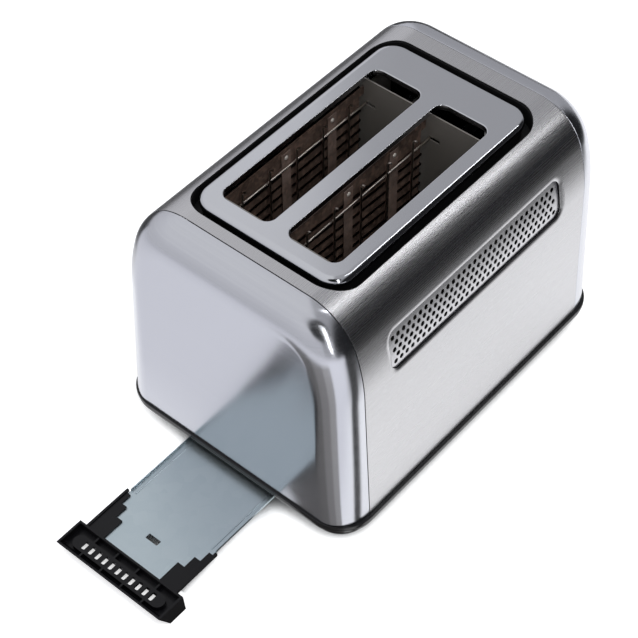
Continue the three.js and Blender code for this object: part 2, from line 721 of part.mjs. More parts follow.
function controlEndPlate() {
  const x = chamber.far;
  const half = rack.thickness / 2 + clearance;
  const tracks = Object.values(rackYs).map((y) => box(
    x - overrun, x + sheet + overrun, y - half, y + half,
    rackBottom - liftTravel - clearance, rack.top + clearance,
  ));
  const tab = box(
    x + sheet / 2, rod.x + 2 * rod.radius, rod.y - 2 * rod.radius, rod.y + 2 * rod.radius,
    rod.top + clearance, rod.top + clearance + sheet,
  );
  return joined(cut(chassisPlate(x, chamber.farTop), ...tracks), tab);
}
add('chassis_plate_tray_end', chassisPlate(chamber.near - sheet, chamber.nearTop), 'galvanised');
add('chassis_plate_control_end', controlEndPlate(), 'galvanised');

// Side reflectors, stiffened by pressed beads
function sideReflector(side) {
  const y = chamber.halfWidth + clearance;
  const length = reflector.top - standZ;
  const inner = [];
  const pitch = length / reflector.beads;
  for (let i = 0; i < reflector.beads; i++) {
    const z = standZ + i * pitch;
    inner.push([y, z], [y, z + pitch - 3 * reflector.bead]);
    inner.push([y + reflector.beadDepth, z + pitch - 2 * reflector.bead]);
    inner.push([y + reflector.beadDepth, z + pitch - reflector.bead]);
  }
  inner.push([y, reflector.top]);
  const outer = inner.map(([u, v]) => [u + reflector.thickness, v]).toReversed();
  const outline = [...inner, ...outer].map(([u, v]) => [side * u, v]);
  return prism(polygon(outline), 'x', chamber.near - 2 * sheet, chamber.far + 2 * sheet);
}
add('side_reflector_left', sideReflector(-1), 'galvanised');
add('side_reflector_right', sideReflector(1), 'galvanised');

// Heater boards: mica sheets with tabs at their corners, each wound with one flat ribbon

const boardNear = chamber.near + board.endGap;
const boardFar = chamber.far - board.endGap;

function heaterBoard(y) {
  const tabNear = boardNear - board.tabReach;
  const tabFar = boardFar + board.tabReach;
  const outline = polygon([
    [tabNear, board.bottom], [tabFar, board.bottom], [tabFar, board.bottom + board.tab],
    [boardFar, board.bottom + board.tab], [boardFar, board.top - board.tab],
    [tabFar, board.top - board.tab], [tabFar, board.top], [tabNear, board.top],
    [tabNear, board.top - board.tab], [boardNear, board.top - board.tab],
    [boardNear, board.bottom + board.tab], [tabNear, board.bottom + board.tab],
  ]);
  return prism(outline, 'y', y - board.thickness / 2, y + board.thickness / 2);
}

// The ribbon runs level on the face towards the bread and climbs on the other face.
function ribbonPath(y, face) {
  const off = clearance + ribbon.thickness / 2;
  const front = y + face * (board.thickness / 2 + off);
  const back = y - face * (board.thickness / 2 + off);
  const path = [];
  for (let loop = 0; loop < ribbon.loops; loop++) {
    const z = ribbon.bottom + loop * ribbonPitch;
    const climbed = z + ribbonPitch;
    path.push(new THREE.Vector3(boardFar + off, front, z));
    path.push(new THREE.Vector3(boardFar + off, back, z));
    path.push(new THREE.Vector3(boardNear - off, back, climbed));
    path.push(new THREE.Vector3(boardNear - off, front, climbed));
  }
  return path;
}

function heaterRibbon(y, face) {
  const path = ribbonPath(y, face);
  const gap = leastGap(path, 1, ribbon.thickness);
  console.log(`Heater ribbon at y ${y}: least gap to itself ${gap.toFixed(2)} mm`);
  const rings = path.map((point, i) => {
    const arriving = path[Math.max(i, 1)].clone().sub(path[Math.max(i, 1) - 1]).setZ(0).normalize();
    const next = Math.min(i + 1, path.length - 1);
    const leaving = path[next].clone().sub(path[next - 1]).setZ(0).normalize();
    const out = new THREE.Vector3(-arriving.y - leaving.y, arriving.x + leaving.x, 0);
    out.multiplyScalar(ribbon.thickness / out.lengthSq());
    const up = new THREE.Vector3(0, 0, ribbon.width / 2);
    return [[-1, -1], [1, -1], [1, 1], [-1, 1]].map(([a, b]) => point.clone()
      .addScaledVector(out, a).addScaledVector(up, b));
  });
  return loft(rings);
}
for (const [name, y] of Object.entries(boardYs)) {
  add(`heater_board_${name}`, heaterBoard(y), 'mica');
  add(`heater_ribbon_${name}`, heaterRibbon(y, y > 0 ? -1 : 1), 'heatingRibbon');
}

// Guard wires: hooked uprights welded to two rails that run through the end plates
function guardWires(y) {
  const towards = breadSide(y);
  const { bottom, top, hook } = guardHeight;
  const pieces = railHeights.map((z) => wire([
    new THREE.Vector3(chamber.near - sheet - 2 * guard.radius, railY(y), z),
    new THREE.Vector3(chamber.far + sheet + 2 * guard.radius, railY(y), z),
  ], guard.radius, wireSides));
  for (let i = 0; i < guard.count; i++) {
    const x = guard.firstX + i * guard.pitch;
    const path = [new THREE.Vector3(x, y, bottom)];
    for (let step = 0; step <= hookSteps; step++) {
      const turn = (step / hookSteps) * (Math.PI / 2);
      const place = [x, y + towards * hook * (1 - Math.cos(turn)), top - hook * (1 - Math.sin(turn))];
      path.push(new THREE.Vector3(...place));
    }
    pieces.push(wire(path, guard.radius, wireSides));
  }
  return joined(...pieces);
}
for (const [name, y] of Object.entries(guardYs)) {
  add(`guard_wires_${name}`, guardWires(y), 'darkSteel');
}

// Bread racks: a toothed blade with cross fingers, one under each slice

function breadRack(y) {
  const start = chamber.near + board.endGap;
  const end = slider.x - clearance;
  const outline = [[start, rackBottom], [end, rackBottom], [end, rack.top - rack.tooth]];
  const count = Math.floor((boardFar - start - finger.pitch / 2) / finger.pitch);
  const fingers = [];
  for (let i = count; i > 0; i--) {
    const x = start + i * finger.pitch;
    outline.push([x + finger.pitch / 4, rack.top - rack.tooth], [x, rack.top]);
    outline.push([x - finger.pitch / 4, rack.top - rack.tooth]);
    const valley = x - finger.pitch / 2;
    const fingerTop = rack.top - rack.tooth - rack.thickness;
    fingers.push(box(
      valley - finger.length / 2, valley + finger.length / 2,
      y - finger.half, y + finger.half, fingerTop - rack.thickness, fingerTop,
    ));
  }
  outline.push([start, rack.top - rack.tooth]);
  return joined(prism(polygon(outline), 'y', y - rack.thickness / 2, y + rack.thickness / 2), ...fingers);
}
add('bread_rack_left', breadRack(rackYs.left), 'plainSteel');
add('bread_rack_right', breadRack(rackYs.right), 'plainSteel');

// Lift slider: a plate with arms to both racks, a bush on the rod and a tongue to the armature

const sliderFront = slider.x + slider.thickness;
const bushOuter = rod.radius + clearance + bush.wall;
const bushBottom = rackBottom - clearance;
const tongueBottom = armature.z + armature.thickness + clearance;

function liftSlider() {
  const armTop = rackBottom + slider.armHeight;
  const arms = box(slider.x, sliderFront, -slider.armHalf, slider.armHalf, rackBottom, armTop);
  const neck = box(slider.x, sliderFront, -slider.neckHalf, rod.y + bush.wall / 2, rackBottom, slider.top);
  const sleeve = cylinder('z', [rod.x, rod.y], bushOuter, bushBottom, bushBottom + bush.height, rodSides);
  const web = box(
    slider.x, rod.x, rod.y - bush.wall / 2, rod.y + bush.wall / 2, rackBottom, bushBottom + bush.height,
  );
  const tongueY = [armature.y - bush.wall, armature.y + bush.wall];
  const drop = box(slider.x, sliderFront, ...tongueY, tongueBottom, armTop);
  const tongue = box(slider.x, armature.x, ...tongueY, tongueBottom, tongueBottom + slider.thickness);
  const boreZ = [bushBottom - overrun, bushBottom + bush.height + overrun];
  const bore = cylinder('z', [rod.x, rod.y], rod.radius + clearance, ...boreZ, rodSides);
  return cut(joined(arms, neck, sleeve, web, drop, tongue), bore);
}
add('lift_slider', liftSlider(), 'plainSteel');
add('guide_rod', cylinder('z', [rod.x, rod.y], rod.radius, standZ, rod.top, rodSides), 'plainSteel');

function armaturePlate() {
  const x = [armature.x - armature.length / 2, armature.x + armature.length / 2];
  const y = [armature.y - armature.width / 2, armature.y + armature.width / 2];
  return box(...x, ...y, armature.z, armature.z + armature.thickness);
}
add('armature_plate', armaturePlate(), 'plainSteel');

// Lift spring: one unbroken wire coiled round the rod, between the deck and the bush
function liftSpring() {
  const bottom = standZ + spring.wire;
  const rise = bushBottom - clearance - spring.wire - bottom;
  const count = spring.curls * spring.curlSteps;
  const path = [];
  for (let i = 0; i <= count; i++) {
    const turn = (i / spring.curlSteps) * 2 * Math.PI;
    const place = [rod.x + spring.radius * Math.cos(turn), rod.y + spring.radius * Math.sin(turn)];
    path.push(new THREE.Vector3(...place, bottom + (rise * i) / count));
  }
  const gap = leastGap(path, spring.curlSteps - 1, 2 * spring.wire);
  console.log(`Lift spring: least gap to itself ${gap.toFixed(2)} mm`);
  return wire(path, spring.wire, spring.sides);
}
add('lift_spring', liftSpring(), 'plainSteel');

// Lever arm and knob: the arm reaches from the slider through the slot in the fascia

const leverKnobBack = fasciaFront + leverKnob.standOff;
const leverEnd = leverKnobBack + lever.reach;

function leverArm() {
  const tall = [lever.z - lever.halfHeight, lever.z + lever.halfHeight];
  const flange = box(
    sliderFront + clearance, sliderFront + clearance + slider.thickness,
    -slider.neckHalf, slider.neckHalf - bush.wall, ...tall,
  );
  return joined(box(sliderFront + clearance, leverEnd, -lever.halfWidth, lever.halfWidth, ...tall), flange);
}
add('lever_arm', leverArm(), 'plainSteel');

function leverKnobForm() {
  const outline = roundedRect(0, lever.z, 2 * leverKnob.halfWidth, leverKnob.height, leverKnob.corner);
  const outlinePoints = ringAt(outline, 0);
  const rings = leverKnobShares.map(([depthShare, sizeShare]) => outlinePoints.map((p) => new THREE.Vector3(
    leverKnobBack + depthShare * leverKnob.depth, p.x * sizeShare, lever.z + (p.y - lever.z) * sizeShare,
  )));
  const socket = box(
    leverKnobBack - overrun, leverEnd + clearance, -lever.halfWidth - clearance, lever.halfWidth + clearance,
    lever.z - lever.halfHeight - clearance, lever.z + lever.halfHeight + clearance,
  );
  return cut(loft(rings), socket);
}
add('lever_knob', leverKnobForm(), 'black');

// Control board with the magnet that holds the carriage down, the browning control and contacts

const boardFront = controlBoard.back + controlBoard.thickness;
add('control_board', box(
  controlBoard.back, boardFront, -controlBoard.halfWidth, controlBoard.halfWidth, standZ, controlBoard.top,
), 'circuitBoard');

// An upright core with three legs, whose tops meet the armature when the carriage is down.
const magnetTop = armature.z - liftTravel - clearance;
const magnetX = [armature.x - magnet.length / 2, armature.x + magnet.length / 2];
const magnetY = [armature.y - magnet.width / 2, armature.y + magnet.width / 2];
const coilBottom = standZ + magnet.core + clearance;

function holdMagnet() {
  const windowWidth = (magnet.length - 3 * magnet.leg) / 2;
  const windows = [magnetX[0] + magnet.leg, magnetX[1] - magnet.leg - windowWidth];
  const windowY = [magnetY[0] - overrun, magnetY[1] + overrun];
  const windowZ = [coilBottom - clearance, magnetTop + overrun];
  return cut(
    box(...magnetX, ...magnetY, standZ, magnetTop),
    ...windows.map((x) => box(x, x + windowWidth, ...windowY, ...windowZ)),
  );
}
add('hold_magnet', holdMagnet(), 'plainSteel');

function magnetCoil() {
  const innerX = magnet.leg / 2 + clearance;
  const outerX = magnet.length / 2 - magnet.leg - clearance;
  const innerY = magnet.width / 2 + clearance;
  const outerY = innerY + outerX - innerX;
  const tall = [coilBottom, coilBottom + magnet.coilHeight];
  return cut(
    box(armature.x - outerX, armature.x + outerX, armature.y - outerY, armature.y + outerY, ...tall),
    box(armature.x - innerX, armature.x + innerX, armature.y - innerY, armature.y + innerY,
      tall[0] - overrun, tall[1] + overrun),
  );
}
add('magnet_coil', magnetCoil(), 'copper');

const potFront = boardFront + clearance + pot.depth;
const knobBack = fasciaFront + knob.standOff;
const shaftEnd = knobBack + knob.socket;

function browningPotentiometer() {
  const tall = [knob.z - pot.half, knob.z + pot.half];
  const can = box(boardFront + clearance, potFront, -pot.half, pot.half, ...tall);
  return joined(can, cylinder('x', [0, knob.z], pot.shaft, potFront - overrun, shaftEnd, rodSides));
}
add('browning_potentiometer', browningPotentiometer(), 'plainSteel');

function browningKnob() {
  const stations = [[0, 0], [knob.depth - knob.chamfer, 0], [knob.depth, knob.chamfer]];
  const rings = stations.map(([along, drawnIn]) => {
    const ring = [];
    for (let i = 0; i < 2 * knobGrips; i++) {
      const angle = (i / (2 * knobGrips)) * 2 * Math.PI;
      const radius = knob.radius - drawnIn - (i % 2) * knob.grip;
      const z = knob.z + radius * Math.sin(angle);
      ring.push(new THREE.Vector3(knobBack + along, radius * Math.cos(angle), z));
    }
    return ring;
  });
  const socket = cylinder(
    'x', [0, knob.z], pot.shaft + clearance, knobBack - overrun, shaftEnd + clearance, rodSides,
  );
  return cut(loft(rings), socket);
}
add('browning_knob', browningKnob(), 'black');

buttonNames.forEach((name, i) => {
  const along = [fasciaBack - button.tail, fasciaFront + button.proud];
  add(name, prism(buttonOutline(buttonZ[i], 0), 'x', ...along, buttonCornerSteps), 'black');
});

// A block on the board with two brass leaves.
function mainsContacts() {
  const back = controlBoard.back - clearance;
  const block = box(
    back - contacts.depth, back, contacts.y - contacts.width / 2, contacts.y + contacts.width / 2,
    standZ, standZ + contacts.height,
  );
  const leaves = [-1, 1].map((side) => {
    const y = contacts.y + (side * contacts.width) / 4;
    const x = back - contacts.depth / 2;
    return box(
      x, x + contacts.leaf, y - contacts.width / 8, y + contacts.width / 8,
      standZ + contacts.height - overrun, standZ + contacts.height + contacts.leafRise,
    );
  });
  return joined(block, ...leaves);
}
add('mains_contacts', mainsContacts(), 'brass');

// Crumb tray: a sheet with low flanges, clipped under the arms of its handle

const trayHalf = tray.width / 2;
const trayTop = tray.bottom + tray.thickness;

function crumbTray() {
  const back = tray.front + tray.length;
  const flangeTop = tray.bottom + tray.flange + tray.thickness;
  const inside = [-trayHalf + tray.thickness, trayHalf - tray.thickness];
  const rimmed = cut(
    box(arm.tip + overrun, back, -trayHalf, trayHalf, tray.bottom, flangeTop),
    box(arm.tip, back - tray.thickness, ...inside, trayTop, flangeTop + overrun),
  );
  const plate = box(tray.front, arm.tip + 2 * overrun, -trayHalf, trayHalf, tray.bottom, trayTop);
  const hole = box(
    trayHole.x - trayHole.length / 2, trayHole.x + trayHole.length / 2,
    -trayHole.width / 2, trayHole.width / 2, tray.bottom - overrun, trayTop + overrun,
  );
  return cut(joined(plate, rimmed), hole);
}
add('crumb_tray', crumbTray(), 'galvanised');

// Handle: an open box with an undercut front, a slotted plate held up in it by ribs, and two
// stepped arms over the sheet with a lip outside it

const handleBack = handle.front + handle.depth;
const handleLow = handle.top - handle.height;
const handlePlateTop = handle.top - handlePlate.drop;

function handleRing(inset, z) {
  const share = (handle.top - z) / handle.height;
  const front = handle.front + share * handle.undercut + inset;
  const half = handle.topHalf + share * (handle.lowHalf - handle.topHalf) - inset;
  const back = handleBack - inset;
  const corners = [[front, -half], [back, -half], [back, half], [front, half]];
  return corners.map(([x, y]) => new THREE.Vector3(x, y, z));
}

function handleSpace(inset, bottom, top) {
  return loft([handleRing(inset, bottom), handleRing(inset, top)]);
}

function handleStadium(inset, bottom, top) {
  const width = handlePlate.width - 2 * inset;
  const length = handlePlate.length - 2 * inset;
  return prism(roundedRect(handlePlate.x, 0, width, length, (width - clearance) / 2), 'z', bottom, top);
}

function handleArm(side) {
  const lipInner = arm.outer - arm.lip;
  const root = handleBack - handle.wall / 2;
  const inner = [];
  let from = root;
  for (const step of ['root', 'middle', 'tip']) {
    inner.push([from, side * armInner[step]], [armEnd[step], side * armInner[step]]);
    from = armEnd[step];
  }
  const outer = side * (arm.outer - arm.lip / 2);
  const panel = polygon([...inner, [from, outer], [root, outer]]);
  const panelBottom = trayTop + clearance;
  const lipY = [side * lipInner, side * arm.outer].sort((a, b) => a - b);
  return joined(
    prism(panel, 'z', panelBottom, panelBottom + arm.thickness),
    box(root, arm.tip, ...lipY, arm.lipBottom, handle.top),
  );
}

function trayHandle() {
  const webTop = handleWeb.bottom + handleWeb.thickness;
  const kept = [handleStadium(0, handleWeb.bottom, handlePlateTop)];
  for (let i = 0; i < handleRib.count; i++) {
    const y = (i - (handleRib.count - 1) / 2) * handleRib.pitch;
    const across = [y - handleRib.thickness / 2, y + handleRib.thickness / 2];
    kept.push(box(handle.front, handleBack, ...across, handleWeb.bottom, handlePlateTop));
  }
  const roof = handlePlateTop - handlePlate.roof;
  const slots = [];
  for (let i = 0; i < handleSlot.count; i++) {
    const y = (i - (handleSlot.count - 1) / 2) * handleSlot.pitch;
    slots.push(box(
      handlePlate.x - handleSlot.length / 2, handlePlate.x + handleSlot.length / 2,
      y - handleSlot.width / 2, y + handleSlot.width / 2, roof - overrun, handle.top,
    ));
  }
  const bar = cut(
    handleSpace(0, handleLow, handle.top),
    cut(handleSpace(handle.wall, webTop, handle.top + overrun), ...kept),
    handleSpace(handle.wall, handleLow - overrun, handleWeb.bottom),
    handleStadium(handlePlate.wall, handleWeb.bottom - clearance, roof),
    ...slots,
  );
  return joined(bar, ...sides.map(handleArm));
}
add('tray_handle', trayHandle(), 'black');

// Runners: a wall and a ledge on each side, that the tray slides along
function trayRunner(side) {
  const inner = arm.outer + runner.gap;
  const foot = basePlate.thickness + clearance;
  const ledgeTop = tray.bottom - clearance;
  const outline = polygon([
    [side * inner, foot], [side * (inner + runner.wall), foot],
    [side * (inner + runner.wall), skirt.bottom - clearance], [side * inner, skirt.bottom - clearance],
    [side * inner, ledgeTop], [side * (inner - runner.ledge), ledgeTop],
    [side * (inner - runner.ledge), ledgeTop - runner.ledgeThickness],
    [side * inner, ledgeTop - runner.ledgeThickness],
  ]);
  return prism(outline, 'x', runner.near, runner.far);
}
add('tray_runner_left', trayRunner(-1), 'galvanised');
add('tray_runner_right', trayRunner(1), 'galvanised');

export default toaster;
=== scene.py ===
import math

import bpy
import bmesh
from mathutils import Matrix, Vector


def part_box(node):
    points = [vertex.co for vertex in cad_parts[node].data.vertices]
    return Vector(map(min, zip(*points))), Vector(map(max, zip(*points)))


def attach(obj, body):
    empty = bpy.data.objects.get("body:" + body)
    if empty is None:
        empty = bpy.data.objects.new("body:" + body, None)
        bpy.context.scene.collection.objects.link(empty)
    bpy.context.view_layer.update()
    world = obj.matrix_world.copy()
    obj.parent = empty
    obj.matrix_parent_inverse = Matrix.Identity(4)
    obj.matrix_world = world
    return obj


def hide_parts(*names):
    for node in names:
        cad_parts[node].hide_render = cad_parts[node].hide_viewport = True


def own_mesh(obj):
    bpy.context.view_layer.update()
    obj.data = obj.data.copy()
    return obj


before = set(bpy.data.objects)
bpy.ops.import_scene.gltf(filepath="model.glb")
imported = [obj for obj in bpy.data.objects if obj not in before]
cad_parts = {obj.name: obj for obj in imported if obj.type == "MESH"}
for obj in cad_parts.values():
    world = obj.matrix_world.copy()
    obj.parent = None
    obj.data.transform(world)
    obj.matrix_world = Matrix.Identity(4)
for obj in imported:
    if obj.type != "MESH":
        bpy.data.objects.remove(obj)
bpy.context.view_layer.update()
MM = 0.001


# Studio: a pale paper floor that runs on to a white background, soft boxes above and beside the toaster,
# and a long-lens camera at the photograph's angle. Grey cards lie on the floor by the near corner of the
# tray end, where only the steel sees them: they paint darker reflections into its corner, and the short
# one stands for the shadow of the tray and body on the floor.

def linear(hex_code):
    """A colour written as sRGB hex, as Blender's linear red, green, blue and alpha."""
    shares = [int(hex_code[i:i + 2], 16) / 255 for i in (1, 3, 5)]
    return [c / 12.92 if c <= 0.04045 else ((c + 0.055) / 1.055) ** 2.4 for c in shares] + [1.0]


def feed(tree, node, inputs):
    """Sets inputs of a node to values, or links them to sockets or to other nodes' first outputs."""
    for name, value in inputs.items():
        if isinstance(value, bpy.types.Node):
            value = value.outputs[0]
        if isinstance(value, bpy.types.NodeSocket):
            tree.links.new(value, node.inputs[name])
        else:
            node.inputs[name].default_value = value
    return node


def add_node(tree, kind, inputs=None, **settings):
    """Adds a node with these settings and inputs."""
    made = tree.nodes.new(kind)
    for name, value in settings.items():
        setattr(made, name, value)
    return feed(tree, made, inputs or {})


def set_stops(ramp_node, stops):
    """Gives a colour ramp these stops, each a position and a colour in hex."""
    ramp = ramp_node.color_ramp
    while len(ramp.elements) < len(stops):
        ramp.elements.new(0.5)
    for element, (position, tone) in zip(ramp.elements, stops):
        element.position = position
        element.color = linear(tone)


def new_material(name):
    """A new material, its node tree and its shader."""
    made = bpy.data.materials.new(name)
    made.use_nodes = True
    return made, made.node_tree, made.node_tree.nodes["Principled BSDF"]


def plain_mesh(name, points, faces):
    """An object at the origin with a mesh of these points and faces."""
    mesh = bpy.data.meshes.new(name)
    mesh.from_pydata([tuple(p) for p in points], [], faces)
    mesh.update()
    piece = bpy.data.objects.new(name, mesh)
    bpy.context.scene.collection.objects.link(piece)
    return piece


floor_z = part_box("foot_control_end_near")[0].z
floor_half = 2.2
corner_signs = ((-1, -1), (1, -1), (1, 1), (-1, 1))
floor_corners = [(floor_half * x, floor_half * y, floor_z) for x, y in corner_signs]
floor = plain_mesh("studio_floor", floor_corners, [(0, 1, 2, 3)])


def grey_card(name, corner, bearing, spread, reach, tone):
    """A card on the floor that only mirrors see: a wedge that opens from a corner of the body. Its matt
    grey gives the steel a painted, darker reflection, a flat tone with no glint."""
    outline = [corner]
    for turn in (-spread, 0.0, spread):
        angle = math.radians(bearing + turn)
        outline.append((corner[0] + reach * math.cos(angle), corner[1] + reach * math.sin(angle)))
    card_z = floor_z + 1 * MM
    card = plain_mesh(name, [(x, y, card_z) for x, y in outline], [(0, 1, 2, 3)])
    reflection_grey, tree, shader = new_material(name + "_felt")
    feed(tree, shader, {"Base Color": linear(tone), "Roughness": 1.0})
    card.data.materials.append(reflection_grey)
    card.visible_camera = False
    card.visible_diffuse = False
    card.visible_shadow = False
    card.visible_transmission = False


# Painted reflections: these cards darken what the steel mirrors at its near corner. The short one at 132
# degrees stands for the shadow of the tray and body on the floor.
near_corner = (-0.118, -0.082)
for bearing, spread, reach, tone in (
    (132, 14, 0.1, "#6c6a69"), (161, 15, 0.4, "#706e6c"), (189, 13, 0.4, "#8a8886"),
    (213, 11, 0.4, "#a8a6a4"), (284, 11, 0.4, "#403f3d"),
):
    grey_card(f"corner_card_{bearing}", near_corner, bearing, spread, reach, tone)

# White seamless paper, matt. The camera sees it pale, with a painted shadow close under the body and tray,
# where ambient occlusion darkens its colour and glow. It is painted fully lit under the tray's handle. The
# steel mirrors it white near the body, dark grey further to each side and pale past the tray end.
painted_shadow_reach = 30 * MM
painted_shadow_limits = (0.2, 0.4)
handle_side_x = -207 * MM
pale_start_x, pale_end_x = -100 * MM, -170 * MM
seen_strength, mirrored_strength = 0.6, 0.35
paper, tree, _ = new_material("white_seamless_paper")
tree.nodes.clear()
place = add_node(tree, "ShaderNodeTexCoord")
spot = add_node(tree, "ShaderNodeSeparateXYZ", {"Vector": place.outputs["Object"]})
beside = add_node(tree, "ShaderNodeMath", {0: spot.outputs["Y"]}, operation="ABSOLUTE")
fade = add_node(tree, "ShaderNodeValToRGB", {"Fac": beside})
set_stops(fade, [
    (0.18, "#ffffff"), (0.22, "#dcdcdc"), (0.28, "#8c8c8c"), (0.36, "#484848"), (0.6, "#303030"),
])
tray_side = add_node(tree, "ShaderNodeMapRange", {
    "Value": spot.outputs["X"], "From Min": pale_start_x, "From Max": pale_end_x,
}, interpolation_type="SMOOTHSTEP")
mirrored_tone = add_node(tree, "ShaderNodeMixRGB", {
    "Fac": tray_side, "Color1": fade, "Color2": linear("#d8d8dc"),
})
# Painted shadow: where ambient occlusion within 30 mm is strong, the paper's colour and glow go dark. Past
# x = -207 mm, under the handle, it stays painted fully lit.
covered = add_node(tree, "ShaderNodeAmbientOcclusion", {"Distance": painted_shadow_reach}, samples=12)
painted_shadow_clear = add_node(tree, "ShaderNodeMapRange", {
    "Value": covered.outputs["AO"], "From Min": painted_shadow_limits[0], "From Max": painted_shadow_limits[1],
})
under_handle = add_node(tree, "ShaderNodeMath", {
    0: spot.outputs["X"], 1: handle_side_x,
}, operation="LESS_THAN")
lit = add_node(tree, "ShaderNodeMath", {0: painted_shadow_clear, 1: under_handle}, operation="MAXIMUM")
seen_tone_painted_shadow = add_node(tree, "ShaderNodeMixRGB", {
    "Fac": lit, "Color1": linear("#2a2a2c"), "Color2": linear("#f4f5f6"),
})
seen_glow = add_node(tree, "ShaderNodeMath", {0: lit, 1: seen_strength}, operation="MULTIPLY")
seen = add_node(tree, "ShaderNodeAddShader", {
    0: add_node(tree, "ShaderNodeBsdfDiffuse", {"Color": seen_tone_painted_shadow}),
    1: add_node(tree, "ShaderNodeEmission", {"Color": linear("#ffffff"), "Strength": seen_glow}),
})
mirrored = add_node(tree, "ShaderNodeAddShader", {
    0: add_node(tree, "ShaderNodeBsdfDiffuse", {"Color": mirrored_tone}),
    1: add_node(tree, "ShaderNodeEmission", {"Color": mirrored_tone, "Strength": mirrored_strength}),
})
path = add_node(tree, "ShaderNodeLightPath")
choice = add_node(tree, "ShaderNodeMixShader", {
    "Fac": path.outputs["Is Camera Ray"], 1: mirrored, 2: seen,
})
add_node(tree, "ShaderNodeOutputMaterial", {"Surface": choice})
floor.data.materials.append(paper)

# The room is light all round and overhead. The ceiling's white ends over the bezel, there is a
# black flat low down beside the grille, and the camera stands before a dark patch.
world = bpy.data.worlds.new("soft_studio")
bpy.context.scene.world = world
world.use_nodes = True
tree = world.node_tree
tree.nodes.clear()
gaze = add_node(tree, "ShaderNodeTexCoord").outputs["Generated"]
height = add_node(tree, "ShaderNodeSeparateXYZ", {"Vector": gaze})
sky = add_node(tree, "ShaderNodeValToRGB", {"Fac": height.outputs["Z"]})
set_stops(sky, [(0.0, "#d0d0d4"), (0.3, "#d8d8dc"), (0.62, "#e4e4e7"), (1.0, "#e6e6e8")])


def toned_towards(room_tone, direction, start, full, tone, share=1.0):
    """Lays a tone over the room's own where the gaze comes near to a direction."""
    nearness = add_node(tree, "ShaderNodeVectorMath", {0: gaze, 1: direction}, operation="DOT_PRODUCT")
    amount = add_node(tree, "ShaderNodeMapRange", {
        "Value": nearness.outputs["Value"], "From Min": start, "From Max": full, "To Max": share,
    }, interpolation_type="SMOOTHSTEP")
    return add_node(tree, "ShaderNodeMixRGB", {
        "Fac": amount, "Color1": room_tone, "Color2": linear(tone),
    })


room_tone = toned_towards(sky, (0.643, -0.766, 0.0), -0.012, 0.012, "#a8a8ab", share=0.85)
room_tone = toned_towards(room_tone, (0.45, -0.89, 0.0), 0.5, 0.74, "#242426")
room_tone = toned_towards(room_tone, (-0.492, -0.443, 0.75), 0.905, 0.94, "#141415")
room = add_node(tree, "ShaderNodeBackground", {"Color": room_tone, "Strength": 1.0})
backdrop = add_node(tree, "ShaderNodeBackground", {"Color": linear("#ffffff"), "Strength": 1.0})
path = add_node(tree, "ShaderNodeLightPath")
choice = add_node(tree, "ShaderNodeMixShader", {
    "Fac": path.outputs["Is Camera Ray"], 1: room, 2: backdrop,
})
add_node(tree, "ShaderNodeOutputWorld", {"Surface": choice})


def soft_box(name, place, aim, size, watts):
    """A rectangular lamp at a place in metres, turned towards a point."""
    lamp = bpy.data.lights.new(name, "AREA")
    lamp.shape = "RECTANGLE"
    lamp.size, lamp.size_y = size
    lamp.energy = watts
    holder = bpy.data.objects.new(name, lamp)
    holder.location = place
    holder.rotation_euler = (Vector(aim) - Vector(place)).to_track_quat("-Z", "Y").to_euler()
    bpy.context.scene.collection.objects.link(holder)
    return holder


middle = (0.0, 0.0, 0.09)
soft_box("shoulder_strip", place=(0.74, -0.55, 1.38), aim=middle, size=(0.08, 1.0), watts=1.4)
floor_aim = (0.0, -0.25, 0.0)
floor_box = soft_box("floor_box", place=(-0.4, -0.7, 1.5), aim=floor_aim, size=(0.7, 0.5), watts=13)
floor_box.visible_glossy = False
soft_box("corner_strip", place=(-0.72, -1.09, 0.93), aim=middle, size=(0.1, 1.3), watts=3)

# The camera was fitted to the photograph's edges, with the toaster's origin at zero.
camera_place = (-591.43 * MM, -469.43 * MM, 890.92 * MM)
camera_forward = Vector((0.4920, 0.4426, -0.7497))
camera_roll = math.radians(-1.59)
image_pixels = 638
focal_pixels = 1809.61
optical_axis_offset = (-28.4, -3.78)
lens = bpy.data.cameras.new("photo_camera")
lens.sensor_width = 36.0
lens.lens = focal_pixels * lens.sensor_width / image_pixels
lens.shift_x = -optical_axis_offset[0] / image_pixels
lens.shift_y = optical_axis_offset[1] / image_pixels
lens.clip_end = 20.0
camera = bpy.data.objects.new("photo_camera", lens)
turned = camera_forward.to_track_quat("-Z", "Y").to_matrix().to_4x4()
camera.matrix_world = Matrix.Translation(camera_place) @ turned @ Matrix.Rotation(camera_roll, 4, "Z")
bpy.context.scene.collection.objects.link(camera)
bpy.context.scene.camera = camera
bpy.context.scene.view_settings.view_transform = "Standard"


# Wrap: one sheet of stainless steel, brushed along its length, bent over the top and down both
# sides. It is open at the top for the bezel and in each side for a grille.

wrap_low, wrap_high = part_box("wrap_shell")
body_top = wrap_high.z
body_foot = wrap_low.z
sheet = 0.8 * MM
top_flat_half = 44.74 * MM
shoulder_radius = 35.2 * MM
shoulder_turn = math.radians(71.9)
flank_radius = 128.6 * MM
flank_turn = math.radians(87.0)
shoulder_centre = (top_flat_half, body_top - shoulder_radius)
flank_centre = (
    shoulder_centre[0] + (shoulder_radius - flank_radius) * math.sin(shoulder_turn),
    shoulder_centre[1] + (shoulder_radius - flank_radius) * math.cos(shoulder_turn),
)


